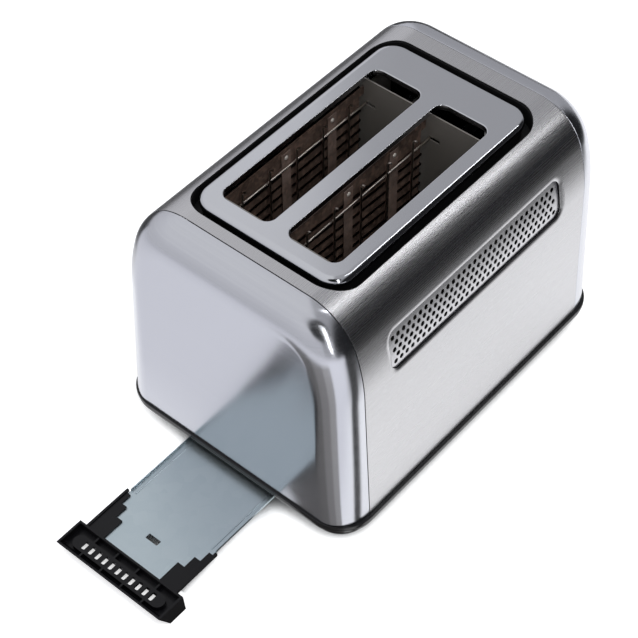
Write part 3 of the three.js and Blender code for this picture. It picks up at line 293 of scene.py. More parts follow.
def body_section(inset, shoulder_steps=30, flank_steps=8):
    """The (y, z) points of the body's section drawn in by an inset, from one foot to the other."""
    top_steps, side_steps = 8, 6
    half = [(top_flat_half * i / top_steps, body_top - inset) for i in range(top_steps)]

    def add_arc(centre, radius, turns):
        """Adds points of an arc, at turns from the vertical."""
        half.extend((centre[0] + radius * math.sin(t), centre[1] + radius * math.cos(t)) for t in turns)

    shoulder_turns = [shoulder_turn * i / shoulder_steps for i in range(shoulder_steps + 1)]
    add_arc(shoulder_centre, shoulder_radius - inset, shoulder_turns)
    turn_step = (flank_turn - shoulder_turn) / flank_steps
    flank_turns = [shoulder_turn + turn_step * i for i in range(1, flank_steps + 1)]
    add_arc(flank_centre, flank_radius - inset, flank_turns)
    last_y, last_z = half[-1]
    lean = math.tan(math.pi / 2 - flank_turn)
    for i in range(1, side_steps + 1):
        z = last_z + (body_foot - last_z) * i / side_steps
        half.append((last_y + (last_z - z) * lean, z))
    return [*reversed(half), *[(-y, z) for y, z in half[1:]]]


def loft(name, rings, hoop=False):
    """A skin over rings of equal count, which run anticlockwise about the way they advance. Its
    ends are closed, or in a hoop the last ring joins the first."""
    count = len(rings[0])
    points = [p for ring in rings for p in ring]
    faces = []
    for i in range(len(rings) if hoop else len(rings) - 1):
        here = i * count
        there = (i + 1) % len(rings) * count
        for j in range(count):
            k = (j + 1) % count
            faces.append((here + j, here + k, there + k, there + j))
    if not hoop:
        faces.append(tuple(reversed(range(count))))
        faces.append(tuple(range(len(points) - count, len(points))))
    return plain_mesh(name, points, faces)


def rounded_rectangle(centre, length, width, corner, steps=14):
    """Points round a rectangle with round corners, anticlockwise."""
    points = []
    for quarter_turn, (right, up) in enumerate([(1, 1), (-1, 1), (-1, -1), (1, -1)]):
        corner_x = centre[0] + right * (length / 2 - corner)
        corner_y = centre[1] + up * (width / 2 - corner)
        for i in range(steps + 1):
            turn = math.pi / 2 * (quarter_turn + i / steps)
            points.append((corner_x + corner * math.cos(turn), corner_y + corner * math.sin(turn)))
    return points


def along_x(outline, stations):
    """Rings of a (y, z) outline at places along x."""
    return [[(x, y, z) for y, z in outline] for x in stations]


def upright(name, outline, low, high):
    """A solid of an (x, y) outline between two heights."""
    return loft(name, [[(x, y, z) for x, y in outline] for z in (low, high)])


def settle(piece):
    """Turns a piece with modifiers into a plain mesh."""
    bpy.context.view_layer.update()
    graph = bpy.context.evaluated_depsgraph_get()
    final = bpy.data.meshes.new_from_object(piece.evaluated_get(graph))
    piece.modifiers.clear()
    old = piece.data
    piece.data = final
    final.name = piece.name
    bpy.data.meshes.remove(old)
    return piece


def carve(piece, *cutters, operation="DIFFERENCE"):
    """Cuts solids out of a piece, or with another operation joins them, and removes them."""
    for cutter in cutters:
        step = piece.modifiers.new("carve", "BOOLEAN")
        step.operation = operation
        step.solver = "EXACT"
        step.object = cutter
        settle(piece)
        bpy.data.objects.remove(cutter)
    return piece


def soften(piece, width, segments=3, angle=35.0):
    """Rounds the sharp edges of a piece and shades it smooth, keeping its flats flat."""
    tidy = bmesh.new()
    tidy.from_mesh(piece.data)
    bmesh.ops.remove_doubles(tidy, verts=tidy.verts, dist=0.00001)
    bmesh.ops.dissolve_degenerate(tidy, edges=tidy.edges, dist=0.00001)
    tidy.to_mesh(piece.data)
    tidy.free()
    if width > 0:
        bevel = piece.modifiers.new("soft_edges", "BEVEL")
        bevel.width = width
        bevel.segments = segments
        bevel.limit_method = "ANGLE"
        bevel.angle_limit = math.radians(angle)
        settle(piece)
    piece.data.polygons.foreach_set("use_smooth", [True] * len(piece.data.polygons))
    piece.data.set_sharp_from_angle(angle=math.radians(angle))
    weight = piece.modifiers.new("flat_weight", "WEIGHTED_NORMAL")
    weight.keep_sharp = True
    return settle(piece)


def seat(piece, body, slot, material, *nodes):
    """Gives a piece its finish and body, and hides the CAD nodes that it stands for. The slot is not used.
    """
    piece.data.materials.clear()
    piece.data.materials.append(material)
    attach(piece, body)
    if nodes:
        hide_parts(*nodes)


def give_finish(tree, shader, rough, relief, inputs, rough_span=(0.0, 1.0)):
    """Feeds a shader: rough is a pattern and the roughness at the two ends of its span, and relief
    is a pattern with its strength and its depth in millimetres."""
    pattern, low, high = rough
    height, strength, depth_mm = relief
    rough_map = add_node(tree, "ShaderNodeMapRange", {
        "Value": pattern, "From Min": rough_span[0], "From Max": rough_span[1],
        "To Min": low, "To Max": high,
    })
    bump = add_node(tree, "ShaderNodeBump", {
        "Height": height, "Strength": strength, "Distance": depth_mm * MM,
    })
    feed(tree, shader, {**inputs, "Roughness": rough_map, "Normal": bump})


def brushed_steel(name, tone, dark_tone, rough, grain_mm, depth, level=False):
    """Stainless steel with straight scratches along X, or with level strokes all round. Real ones
    are finer than a tenth of a millimetre, and these are drawn as coarse as they need to show."""
    metal, tree, shader = new_material(name)
    place = add_node(tree, "ShaderNodeTexCoord").outputs["Object"]
    run = 1 / (400 * MM)
    across = 1 / (grain_mm * MM)
    stretch = add_node(tree, "ShaderNodeMapping", {
        "Vector": place, "Scale": (run, run if level else across, across),
    })
    scratch = add_node(tree, "ShaderNodeTexNoise", {
        "Vector": stretch, "Scale": 1.0, "Detail": 2.0, "Roughness": 0.6,
    }).outputs["Fac"]
    tone_mix = add_node(tree, "ShaderNodeMixRGB", {
        "Fac": scratch, "Color1": linear(dark_tone), "Color2": linear(tone),
    })
    tangent = add_node(tree, "ShaderNodeTangent", direction_type="RADIAL", axis="Z" if level else "X")
    rough_ends = (rough - 0.04, rough + 0.04)
    give_finish(tree, shader, (scratch, *rough_ends), (scratch, depth, 0.02), {
        "Base Color": tone_mix, "Metallic": 1.0, "Anisotropic": 0.6,
        "Anisotropic Rotation": 0.25 if level else 0.0, "Tangent": tangent,
    }, rough_span=(0.25, 0.75))
    return metal


# Belt-brushed stainless steel: its scratches draw each reflection out across the grain, and the
# flanks show fine level streaks.
wrap_steel = brushed_steel("belt_brushed_stainless_steel", "#d2d2d4", "#c0c0c3", 0.27, 0.24, 0.12)

overrun = 2 * MM
mouth_centre = (-2.25 * MM, 0.0)
mouth_length, mouth_width, mouth_corner = 188.5 * MM, 118.6 * MM, 18.4 * MM
mouth_depth = 30 * MM
window_centre = (0.6 * MM, body_top - 43.6 * MM)
window_length, window_height, window_corner = 166.6 * MM, 34.6 * MM, 9.5 * MM


def mouth_outline(grow):
    """The opening in the wrap's top, grown by a margin."""
    size = (mouth_length + 2 * grow, mouth_width + 2 * grow, mouth_corner + grow)
    return rounded_rectangle(mouth_centre, *size)


wrap_ring = body_section(0.0) + list(reversed(body_section(sheet)))
wrap_stations = [wrap_low.x + (wrap_high.x - wrap_low.x) * i / 12 for i in range(13)]
wrap = loft("wrap_shell_brushed", along_x(wrap_ring, wrap_stations))
mouth_cutter = upright("mouth_cutter", mouth_outline(0.0), body_top - mouth_depth, body_top + overrun)
window_outline = rounded_rectangle(window_centre, window_length, window_height, window_corner)
window_reach = wrap_high.y + overrun
window_rings = [[(x, y, z) for x, z in window_outline] for y in (window_reach, -window_reach)]
carve(wrap, mouth_cutter, loft("window_cutter", window_rings))
soften(wrap, 0.35 * MM)
seat(wrap, "body", "brushed_stainless", wrap_steel, "wrap_shell")


# End caps: satin stainless sheet, pressed round the section of the body and set against the wrap
# with a fine open seam. The control end has a hole for its black panel.

cap_edge = 20 * MM
cap_depth_low, cap_depth_high = 23.1 * MM, 20.6 * MM
cap_rim = 104.6 * MM
rim_round = 0.5 * MM
cap_steps, rim_steps = 16, 4


def cap_depth(z):
    """How far a cap stands out from its seam at a height."""
    share = (z - body_foot) / (body_top - body_foot)
    return cap_depth_low + (cap_depth_high - cap_depth_low) * share


def cap_ring(end, inset, turn, back=0.0):
    """One ring of a cap's skin: turn runs from 0 at the seam to a quarter at the end face."""
    drawn_in = inset + (cap_edge - inset) * (1 - math.cos(turn))
    ring = []
    for y, z in body_section(drawn_in):
        ring.append((end * (cap_rim - back + (cap_depth(z) - inset) * math.sin(turn)), y, z))
    return ring


def end_cap(name, end):
    """A cap with its outside, its inside and a rounded rim. The end is -1 for the tray's."""
    turns = [math.pi / 2 * i / cap_steps for i in range(cap_steps + 1)]
    inner = [cap_ring(end, sheet, turn) for turn in reversed(turns)]
    rim = []
    for i in range(rim_steps, 0, -1):
        turn = math.pi / 2 * i / rim_steps
        rim.append(cap_ring(end, rim_round * (1 - math.cos(turn)), 0.0, rim_round * (math.sin(turn) - 1)))
    outer = [cap_ring(end, 0.0, turn) for turn in turns[1:]]
    rings = inner + rim + outer
    if end < 0:
        rings = [list(reversed(ring)) for ring in rings]
    return loft(name, rings)


# Satin stainless steel, rubbed with level strokes: soft and even, with what it mirrors blurred up
# and down.
satin_steel = brushed_steel("satin_stainless_steel", "#d3d5db", "#c8cad1", 0.19, 0.5, 0.06, level=True)
tray_cap = end_cap("tray_end_cap_satin", -1)
soften(tray_cap, 0.0)
seat(tray_cap, "body", "satin_stainless", satin_steel, "tray_end_cap")

fascia_low, fascia_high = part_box("control_fascia")
panel_play = 0.3 * MM
fascia_corner = 8 * MM
fascia_middle = (0.0, (fascia_low.z + fascia_high.z) / 2)
fascia_size = [high - low + 2 * panel_play for low, high in zip(fascia_low[1:], fascia_high[1:])]
fascia_hole = rounded_rectangle(fascia_middle, *fascia_size, fascia_corner + panel_play)
control_cap = end_cap("control_end_cap_satin", 1)
carve(control_cap, loft("panel_hole", along_x(fascia_hole, (cap_rim, fascia_high.x + overrun))))
soften(control_cap, 0.0)
seat(control_cap, "body", "satin_stainless", satin_steel, "control_end_cap")


# Bezel: a pressed stainless plate with a rolled edge, standing a little above the body over a dark
# gap. Its two slots have turned-down lips. The pressed well below it carries it.

bezel_low, bezel_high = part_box("top_bezel")
bezel_length, bezel_width, bezel_corner = 179.6 * MM, 108.6 * MM, 13.9 * MM
bezel_roll = 4 * MM
slot_length, slot_width, slot_corner = 140 * MM, 37.1 * MM, 6.5 * MM
slot_centre_x, slot_pitch = -9.5 * MM, 48.75 * MM
lip_round, lip_depth = 0.6 * MM, 3.8 * MM
quarter = [math.pi / 2 * i / 10 for i in range(11)]


def bezel_ring(inset, z):
    """The bezel's outline drawn in by an inset, at a height."""
    size = (bezel_length - 2 * inset, bezel_width - 2 * inset, bezel_corner - inset)
    return [(x, y, z) for x, y in rounded_rectangle(mouth_centre, *size)]


def slot_ring(side, grown, z):
    """A bread slot's outline, grown by a margin, at a height."""
    size = (slot_length + 2 * grown, slot_width + 2 * grown, slot_corner + grown)
    return [(x, y, z) for x, y in rounded_rectangle((slot_centre_x, side * slot_pitch / 2), *size)]


rolled = [bezel_ring(0.0, bezel_low.z)]
hollow = [bezel_ring(sheet, bezel_low.z - overrun)]
roll_z = bezel_high.z - bezel_roll
inner_roll = bezel_roll - sheet
for turn in quarter:
    drawn_in, risen = 1 - math.cos(turn), math.sin(turn)
    rolled.append(bezel_ring(bezel_roll * drawn_in, roll_z + bezel_roll * risen))
    hollow.append(bezel_ring(sheet + inner_roll * drawn_in, roll_z + inner_roll * risen))
bezel = loft("top_bezel_satin", rolled)
carve(bezel, loft("hollow", hollow))
for side in (-1, 1):
    collar = [slot_ring(side, sheet, z) for z in (bezel_high.z - lip_depth, bezel_high.z - sheet / 2)]
    carve(bezel, loft("collar", collar), operation="UNION")
for side in (-1, 1):
    flare = [slot_ring(side, 0.0, bezel_high.z - lip_depth - overrun)]
    for turn in quarter:
        lip_z = bezel_high.z - lip_round + lip_round * math.sin(turn)
        flare.append(slot_ring(side, lip_round * (1 - math.cos(turn)), lip_z))
    flare.append(slot_ring(side, lip_round, bezel_high.z + overrun))
    carve(bezel, loft("slot_hole", flare))
soften(bezel, 0.0)


def satin_metal(name, tone, rough, cloud_mm=25, grain=0.05, metallic=1.0):
    """Metal with a satin skin: its gloss changes in soft clouds, over specks of 0.4 mm."""
    metal, tree, shader = new_material(name)
    place = add_node(tree, "ShaderNodeTexCoord").outputs["Object"]
    cloud = add_node(tree, "ShaderNodeTexNoise", {
        "Vector": place, "Scale": 1 / (cloud_mm * MM), "Detail": 3.0,
    })
    speck = add_node(tree, "ShaderNodeTexNoise", {
        "Vector": place, "Scale": 1 / (0.4 * MM), "Detail": 2.0,
    })
    give_finish(tree, shader, (cloud, rough - 0.04, rough + 0.04), (speck, grain, 0.05), {
        "Base Color": linear(tone), "Metallic": metallic,
    })
    return metal


# Stainless steel with a fine satin, the glossiest here: it mirrors the room's edges clearly.
bezel_steel = satin_metal("satin_bezel_steel", "#ced0d5", 0.13)
seat(bezel, "body", "brushed_stainless", bezel_steel, "top_bezel")


# Well: a black enamelled ring with a floor, that shows as the dark gap round the bezel. It hangs
# under the edge of the wrap's mouth and holds the bezel up.

well_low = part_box("bezel_well")[0]
well_lip = 1 * MM
well_wall = 1.5 * MM
well_rise = 172.8 * MM
bezel_inset = 1.3 * MM
clearance = 0.3 * MM


def bezel_outline(inset):
    """The bezel's outline on the flat, drawn in by an inset."""
    return [(x, y) for x, y, z in bezel_ring(inset, 0.0)]


well = upright("bezel_well_black", mouth_outline(well_lip), well_low.z, body_top)
room_under = along_x(body_section(sheet + clearance), (wrap_low.x, wrap_high.x))
carve(well, loft("room_under_wrap", room_under), operation="INTERSECT")
trough_floor = well_low.z + well_wall
trough = upright("trough", mouth_outline(well_lip - well_wall), trough_floor, body_top + overrun)
carve(trough, upright("inner_wall", bezel_outline(bezel_inset), well_low.z, well_rise))
well_hole = bezel_outline(bezel_inset + well_wall)
carve(well, trough, upright("well_hole", well_hole, well_low.z - overrun, body_top + overrun))
soften(well, 0.2 * MM, segments=2)


def moulded_plastic(name, tone, rough, grain=0.15, grain_mm=0.35, ior=1.52):
    """Moulded plastic or rubber, or enamel: a fine leather grain that keeps glints soft, with its
    gloss changing in patches of 18 mm."""
    plastic, tree, shader = new_material(name)
    place = add_node(tree, "ShaderNodeTexCoord").outputs["Object"]
    leather = add_node(tree, "ShaderNodeTexNoise", {
        "Vector": place, "Scale": 1 / (grain_mm * MM), "Detail": 3.0,
    })
    wear = add_node(tree, "ShaderNodeTexNoise", {
        "Vector": place, "Scale": 1 / (18 * MM), "Detail": 2.0,
    })
    give_finish(tree, shader, (wear, rough - 0.05, rough + 0.05), (leather, grain, 0.08), {
        "Base Color": linear(tone), "IOR": ior,
    })
    return plastic


# Matt black enamel baked on steel: the gap stays dark and gives no glint.
well_black = moulded_plastic("matt_black_enamelled_steel", "#0b0b0c", 0.55)
seat(well, "body", "black_plastic", well_black, "bezel_well")


# Side grilles: thin perforated stainless sheet, punched with staggered round holes, that follows
# the flank behind a window in each long side. A broad pressed rim turns in round the window.

panel_foot_z = 111.6 * MM
panel_thickness = 0.6 * MM
panel_length, panel_height, panel_corner = 171 * MM, 38 * MM, 6 * MM
panel_gap = 2.2 * MM
panel_gap_height, panel_gap_growth = 130 * MM, 0.03
hole_rows, holes_in_long_row = 5, 31
hole_pitch = 5 * MM
hole_radius = 1.6 * MM
hole_row_rise = hole_pitch * math.cos(math.pi / 6)
middle_row_z = 130.35 * MM
mean_lean = math.radians(4.3)
holes_centre_x = 0.5 * MM
rim_reach, rim_depth = 4.0 * MM, 2.3 * MM
rim_foot, rim_lap = 0.5 * MM, 0.004 * MM
rim_turns = [math.radians(55) * i / 10 for i in range(11)]


def punch_tree():
    """Geometry nodes that set out punches on a staggered grid: rows of one count and one less."""
    tree = bpy.data.node_groups.new("staggered_punches", "GeometryNodeTree")
    for label, kind in (
        ("Geometry", "Geometry"), ("Rows", "Int"), ("Long Row", "Int"), ("Pitch", "Float"),
        ("Radius", "Float"), ("Depth", "Float"), ("Material", "Material"),
    ):
        tree.interface.new_socket(label, in_out="INPUT", socket_type="NodeSocket" + kind)
    tree.interface.new_socket("Geometry", in_out="OUTPUT", socket_type="NodeSocketGeometry")
    given = add_node(tree, "NodeGroupInput").outputs
    row_pitch = add_node(tree, "ShaderNodeMath", {
        0: given["Pitch"], 1: math.cos(math.pi / 6),
    }, operation="MULTIPLY")
    steps_up = add_node(tree, "ShaderNodeMath", {0: given["Rows"], 1: 1.0}, operation="SUBTRACT")
    steps_along = add_node(tree, "ShaderNodeMath", {0: given["Long Row"], 1: 1.0}, operation="SUBTRACT")
    height = add_node(tree, "ShaderNodeMath", {0: steps_up, 1: row_pitch}, operation="MULTIPLY")
    length = add_node(tree, "ShaderNodeMath", {0: steps_along, 1: given["Pitch"]}, operation="MULTIPLY")
    grid = add_node(tree, "GeometryNodeMeshGrid", {
        "Size X": length, "Size Y": height, "Vertices X": given["Long Row"], "Vertices Y": given["Rows"],
    })

    # The grid is numbered up its columns. Its last column has no punch in the odd rows.
    index = add_node(tree, "GeometryNodeInputIndex")
    row = add_node(tree, "ShaderNodeMath", {0: index, 1: given["Rows"]}, operation="MODULO")
    odd_row = add_node(tree, "ShaderNodeMath", {0: row, 1: 2.0}, operation="MODULO")
    last_start = add_node(tree, "ShaderNodeMath", {
        0: steps_along, 1: given["Rows"],
    }, operation="MULTIPLY")
    beyond = add_node(tree, "ShaderNodeMath", {0: index, 1: last_start}, operation="SUBTRACT")
    in_last = add_node(tree, "ShaderNodeMath", {0: beyond, 1: -0.5}, operation="GREATER_THAN")
    spare = add_node(tree, "ShaderNodeMath", {0: odd_row, 1: in_last}, operation="MULTIPLY")
    marked = add_node(tree, "GeometryNodeStoreNamedAttribute", {
        "Geometry": grid.outputs["Mesh"], "Name": "odd_row", "Value": odd_row,
    }, data_type="FLOAT", domain="POINT")
    thinned = add_node(tree, "GeometryNodeDeleteGeometry", {
        "Geometry": marked, "Selection": spare,
    }, domain="POINT")
    mark = add_node(tree, "GeometryNodeInputNamedAttribute", {"Name": "odd_row"}, data_type="FLOAT")
    half_pitch = add_node(tree, "ShaderNodeMath", {0: given["Pitch"], 1: 0.5}, operation="MULTIPLY")
    shift = add_node(tree, "ShaderNodeMath", {0: mark, 1: half_pitch}, operation="MULTIPLY")
    moved = add_node(tree, "GeometryNodeSetPosition", {
        "Geometry": thinned, "Offset": add_node(tree, "ShaderNodeCombineXYZ", {"X": shift}),
    })
    punch = add_node(tree, "GeometryNodeMeshCylinder", {
        "Vertices": 24, "Radius": given["Radius"], "Depth": given["Depth"],
    })
    placed = add_node(tree, "GeometryNodeInstanceOnPoints", {
        "Points": moved, "Instance": punch.outputs["Mesh"],
    })
    real = add_node(tree, "GeometryNodeRealizeInstances", {"Geometry": placed})
    coloured = add_node(tree, "GeometryNodeSetMaterial", {
        "Geometry": real, "Material": given["Material"],
    })
    add_node(tree, "NodeGroupOutput", {"Geometry": coloured})
    return tree


def generated(name, tree, values):
    """A plain mesh made by a geometry node tree with these values for its named inputs."""
    piece = plain_mesh(name, [(0, 0, 0)], [])
    maker = piece.modifiers.new("maker", "NODES")
    maker.node_group = tree
    for item in tree.interface.items_tree:
        if item.item_type == "SOCKET" and item.in_out == "INPUT" and item.name in values:
            maker[item.identifier] = values[item.name]
    return settle(piece)


# Thin stainless sheet with a duller satin: the webs between the holes take an even, soft light.
perforated_steel = satin_metal("perforated_satin_steel", "#d2d2d5", 0.27)
punches = punch_tree()
flank = [p for p in body_section(0.0, shoulder_steps=90, flank_steps=30) if p[0] > 0]


def behind_flank(x, z, side, depth):
    """The point this far behind the wrap's outside, square to the sheet at a height."""
    for (y0, z0), (y1, z1) in zip(flank, flank[1:]):
        if z0 <= z <= z1:
            y = y0 + (y1 - y0) * (z - z0) / (z1 - z0)
            normal = Vector((z1 - z0, y0 - y1)).normalized()
            return (x, side * (y - depth * normal[0]), z - depth * normal[1])
    raise ValueError(z)


def up_the_flank(rise):
    """The height that lies this far up the wrap's outside from the panel's foot."""
    for (y0, z0), (y1, z1) in zip(flank, flank[1:]):
        low = max(z0, panel_foot_z)
        if z1 > low:
            span = math.hypot(y1 - y0, z1 - z0) * (z1 - low) / (z1 - z0)
            if rise <= span:
                return low + (z1 - low) * rise / span
            rise -= span
    raise ValueError(rise)


def perforated_panel(name, side):
    """A panel modelled flat, x along it and y up it, then bent to the flank behind its window."""
    middle = (window_centre[0], panel_height / 2)
    outline = rounded_rectangle(middle, panel_length, panel_height, panel_corner)
    panel = upright(name, outline, 0.0, panel_thickness)
    cutter = generated("punches", punches, {
        "Rows": hole_rows, "Long Row": holes_in_long_row, "Pitch": hole_pitch, "Radius": hole_radius,
        "Depth": 6 * panel_thickness, "Material": perforated_steel,
    })
    middle_row = (middle_row_z - panel_foot_z) / math.cos(mean_lean)
    cutter.data.transform(Matrix.Translation((holes_centre_x, middle_row, 0.0)))
    carve(panel, cutter)

    # It folds midway between its rows of holes, and then takes the flank's curve.
    bent = bmesh.new()
    bent.from_mesh(panel.data)
    for row in range(-4, 5):
        everything = [*bent.verts, *bent.edges, *bent.faces]
        fold = (0.0, middle_row + (row + 0.5) * hole_row_rise, 0.0)
        bmesh.ops.bisect_plane(bent, geom=everything, plane_co=fold, plane_no=(0, 1, 0))
    for vertex in bent.verts:
        x, rise, depth = vertex.co
        z = up_the_flank(min(max(rise, 0.0), panel_height))
        depth += panel_gap + panel_gap_growth * (z - panel_gap_height)
        vertex.co = behind_flank(x, z, side, depth)
    if side < 0:
        bmesh.ops.reverse_faces(bent, faces=bent.faces)
    bent.to_mesh(panel.data)
    bent.free()
    return soften(panel, 0.12 * MM, segments=1, angle=50)


def window_rim(name, side):
    """The pressed rim of a window: an oval quarter round from the wrap's face inward."""
    profile = [(rim_foot, -rim_lap)]
    inside = []
    for turn in rim_turns:
        reach, depth = -rim_reach * math.sin(turn), rim_depth * (1 - math.cos(turn))
        profile.append((reach, depth))
        inside.append((reach + sheet * math.sin(turn), depth + sheet * math.cos(turn)))
    rings = []
    for grown, depth in [*profile, *reversed(inside)]:
        size = (window_length + 2 * grown, window_height + 2 * grown, window_corner + grown)
        outline = rounded_rectangle(window_centre, *size)
        ring = [behind_flank(x, z, side, depth) for x, z in outline]
        rings.append(ring if side < 0 else list(reversed(ring)))
    return loft(name, rings, hoop=True)


for side, label in ((-1, "near"), (1, "far")):
    panel = perforated_panel(f"side_grille_{label}_perforated", side)
    seat(panel, "body", "brushed_stainless", perforated_steel, f"side_grille_{label}")
    rim = window_rim(f"window_rim_{label}", side)
    soften(rim, 0.0, angle=60)
    seat(rim, "body", "brushed_stainless", wrap_steel)


# Base frame: one black moulding that the metal stands in. Its skirt shows as a narrow trim with a
# glossy upper band and a tucked-in lower one, and it has a bay for the tray's handle.

frame_low, frame_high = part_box("base_frame")
skirt_corner = 24.5 * MM
skirt_bottom, skirt_top = 8.7 * MM, 14.7 * MM
skirt_wall = 2.5 * MM
deck_top = skirt_bottom + 2 * MM
rim_top = skirt_bottom + 1 * MM
rim_inset, upstand_inset = 6 * MM, 1.6 * MM
bay_back, bay_half = -107.8 * MM, 46 * MM
stub_start, stub_end = -121.75 * MM, bay_back + 2.5 * MM


def frame_outline(inset):
    """The base frame's outline drawn in by an inset."""
    size = (2 * (frame_high.x - inset), 2 * (frame_high.y - inset), skirt_corner - inset)
    return rounded_rectangle((0.0, 0.0), *size, steps=20)


def metal_foot_outline(inset):
    """The outline of the metal's foot drawn in by an inset."""
    size = (2 * (cap_rim + cap_depth_low - inset), 2 * (wrap_high.y - inset), cap_depth_low - inset)
    return rounded_rectangle((0.0, 0.0), *size, steps=20)


def block(name, low, high):
    """A box between two corners."""
    outline = [(low[0], low[1]), (high[0], low[1]), (high[0], high[1]), (low[0], high[1])]
    return upright(name, outline, low[2], high[2])


skirt_profile_mm = [
    (1.1, 8.7), (0.8, 8.95), (0.25, 11.3), (0.6, 11.5), (0.6, 11.8), (0.15, 11.95), (0.0, 12.2),
    (0.0, 14.1), (0.12, 14.45), (0.5, 14.7),
]
skirt_rings = [[(x, y, z * MM) for x, y in frame_outline(inset * MM)] for inset, z in skirt_profile_mm]
base = loft("base_frame_black", skirt_rings)
carve(base, upright("skirt_hollow", frame_outline(skirt_wall), deck_top, skirt_top + overrun))
carve(base, upright("rim", frame_outline(rim_inset), frame_low.z, rim_top), operation="UNION")
rim_inside = frame_outline(rim_inset + 2.5 * MM)
carve(base, upright("rim_hollow", rim_inside, frame_low.z - overrun, skirt_bottom))
upstand = upright("upstand", metal_foot_outline(upstand_inset), deck_top - 1 * MM, frame_high.z)
upstand_inside = metal_foot_outline(upstand_inset + 2 * MM)
carve(upstand, upright("upstand_hollow", upstand_inside, deck_top, frame_high.z + overrun))
carve(base, upstand, operation="UNION")
deck_low, deck_high = (-72 * MM, -36 * MM, -overrun), (50 * MM, 36 * MM, frame_high.z + overrun)
carve(base, block("deck_hole", deck_low, deck_high))
for stub_low, stub_high in ((-48.5 * MM, -38.5 * MM), (38.5 * MM, 48.5 * MM)):
    stub = block("stub", (stub_start, stub_low, 0.0), (stub_end, stub_high, rim_top))
    carve(base, stub, operation="UNION")
bay_start = -frame_high.x - overrun
carve(base, block("bay", (bay_start, -bay_half, -overrun), (bay_back, bay_half, skirt_bottom)))
soften(base, 0.15 * MM, segments=2)
# Semi-gloss black polypropylene from a smooth mould: the upper band takes one long soft glint.
trim_black = moulded_plastic("black_polypropylene_semi_gloss", "#0c0c0e", 0.26, ior=1.45)
seat(base, "body", "black_plastic", trim_black, "base_frame")


# Crumb tray: a galvanised sheet with turned-up sides, a low bead inside each and a small slot,
# clipped into a black moulded handle. The handle is an open box with an undercut front. Ribs hold
# a slotted plate up in it, and two stepped arms with a lip hold the sheet.

tray_low, tray_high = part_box("crumb_tray")
tray_sheet = 0.6 * MM
tray_top = tray_low.z + tray_sheet
tray_half = tray_high.y
tray_bend, edge_round = 0.9 * MM, 0.15 * MM
bead_mm = ((3.2, 0.0), (3.5, 0.25), (4.1, 0.25), (4.4, 0.0))
flange_start = -179 * MM
tongue_lap = 2 * MM


def flange_section():
    """The (y, z) points of the sheet with its sides turned up and its beads."""
    bends = [math.pi / 2 * i / 5 for i in range(6)]
    bend_y = tray_half - tray_bend
    inside = tray_bend - tray_sheet
    half = [(0.0, tray_low.z)]
    for t in bends:
        half.append((bend_y + tray_bend * math.sin(t), tray_low.z + tray_bend * (1 - math.cos(t))))
    half.append((tray_half, tray_high.z - edge_round))
    half.append((tray_half - edge_round, tray_high.z))
    half.append((tray_half - tray_sheet + edge_round, tray_high.z))
    half.append((tray_half - tray_sheet, tray_high.z - edge_round))
    for t in reversed(bends):
        half.append((bend_y + inside * math.sin(t), tray_top + inside * (1 - math.cos(t))))
    half += [(tray_half - back * MM, tray_top + rise * MM) for back, rise in bead_mm]
    half.append((0.0, tray_top))
    return [*half, *[(-y, z) for y, z in reversed(half[1:-1])]]


tray_stations = (flange_start, -130 * MM, -80 * MM, tray_high.x)
tray = loft("crumb_tray_galvanised", along_x(flange_section(), tray_stations))
tongue_middle = ((tray_low.x + flange_start + tongue_lap) / 2, 0.0)
tongue_length = flange_start - tray_low.x + tongue_lap
tongue_outline = rounded_rectangle(tongue_middle, tongue_length, 2 * tray_half, 1 * MM)
carve(tray, upright("tongue", tongue_outline, tray_low.z, tray_top), operation="UNION")
tray_hole = rounded_rectangle((-196 * MM, 0.0), 4 * MM, 9.5 * MM, 0.7 * MM)
carve(tray, upright("tray_hole", tray_hole, tray_low.z - overrun, tray_high.z + overrun))
soften(tray, 0.08 * MM, segments=1, angle=30)


def galvanised(name, tone, rough, spangle_mm=7):
    """Zinc-dipped sheet: flat crystals of slightly different greys, under a frost of 1.2 mm."""
    zinc, tree, shader = new_material(name)
    place = add_node(tree, "ShaderNodeTexCoord").outputs["Object"]
    spangle = add_node(tree, "ShaderNodeTexVoronoi", {
        "Vector": place, "Scale": 1 / (spangle_mm * MM), "Randomness": 1.0,
    })
    crystal = add_node(tree, "ShaderNodeSeparateColor", {"Color": spangle.outputs["Color"]})
    frost = add_node(tree, "ShaderNodeTexNoise", {
        "Vector": place, "Scale": 1 / (1.2 * MM), "Detail": 4.0,
    })
    faint = add_node(tree, "ShaderNodeMath", {0: crystal.outputs["Red"], 1: 0.4}, operation="MULTIPLY")
    tone_mix = add_node(tree, "ShaderNodeMixRGB", {
        "Fac": faint, "Color1": linear(tone), "Color2": linear("#cfdbe0"),
    })
    give_finish(tree, shader, (frost, rough - 0.08, rough + 0.1), (frost, 0.3, 0.12), {
        "Base Color": tone_mix, "Metallic": 1.0,
    })
    return zinc


# Bright galvanised steel: pale and a little blue, and it mirrors the white floor dully.
tray_zinc = galvanised("galvanised_steel_sheet", "#c5d3d9", 0.36)
seat(tray, "tray", "galvanised", tray_zinc, "crumb_tray")

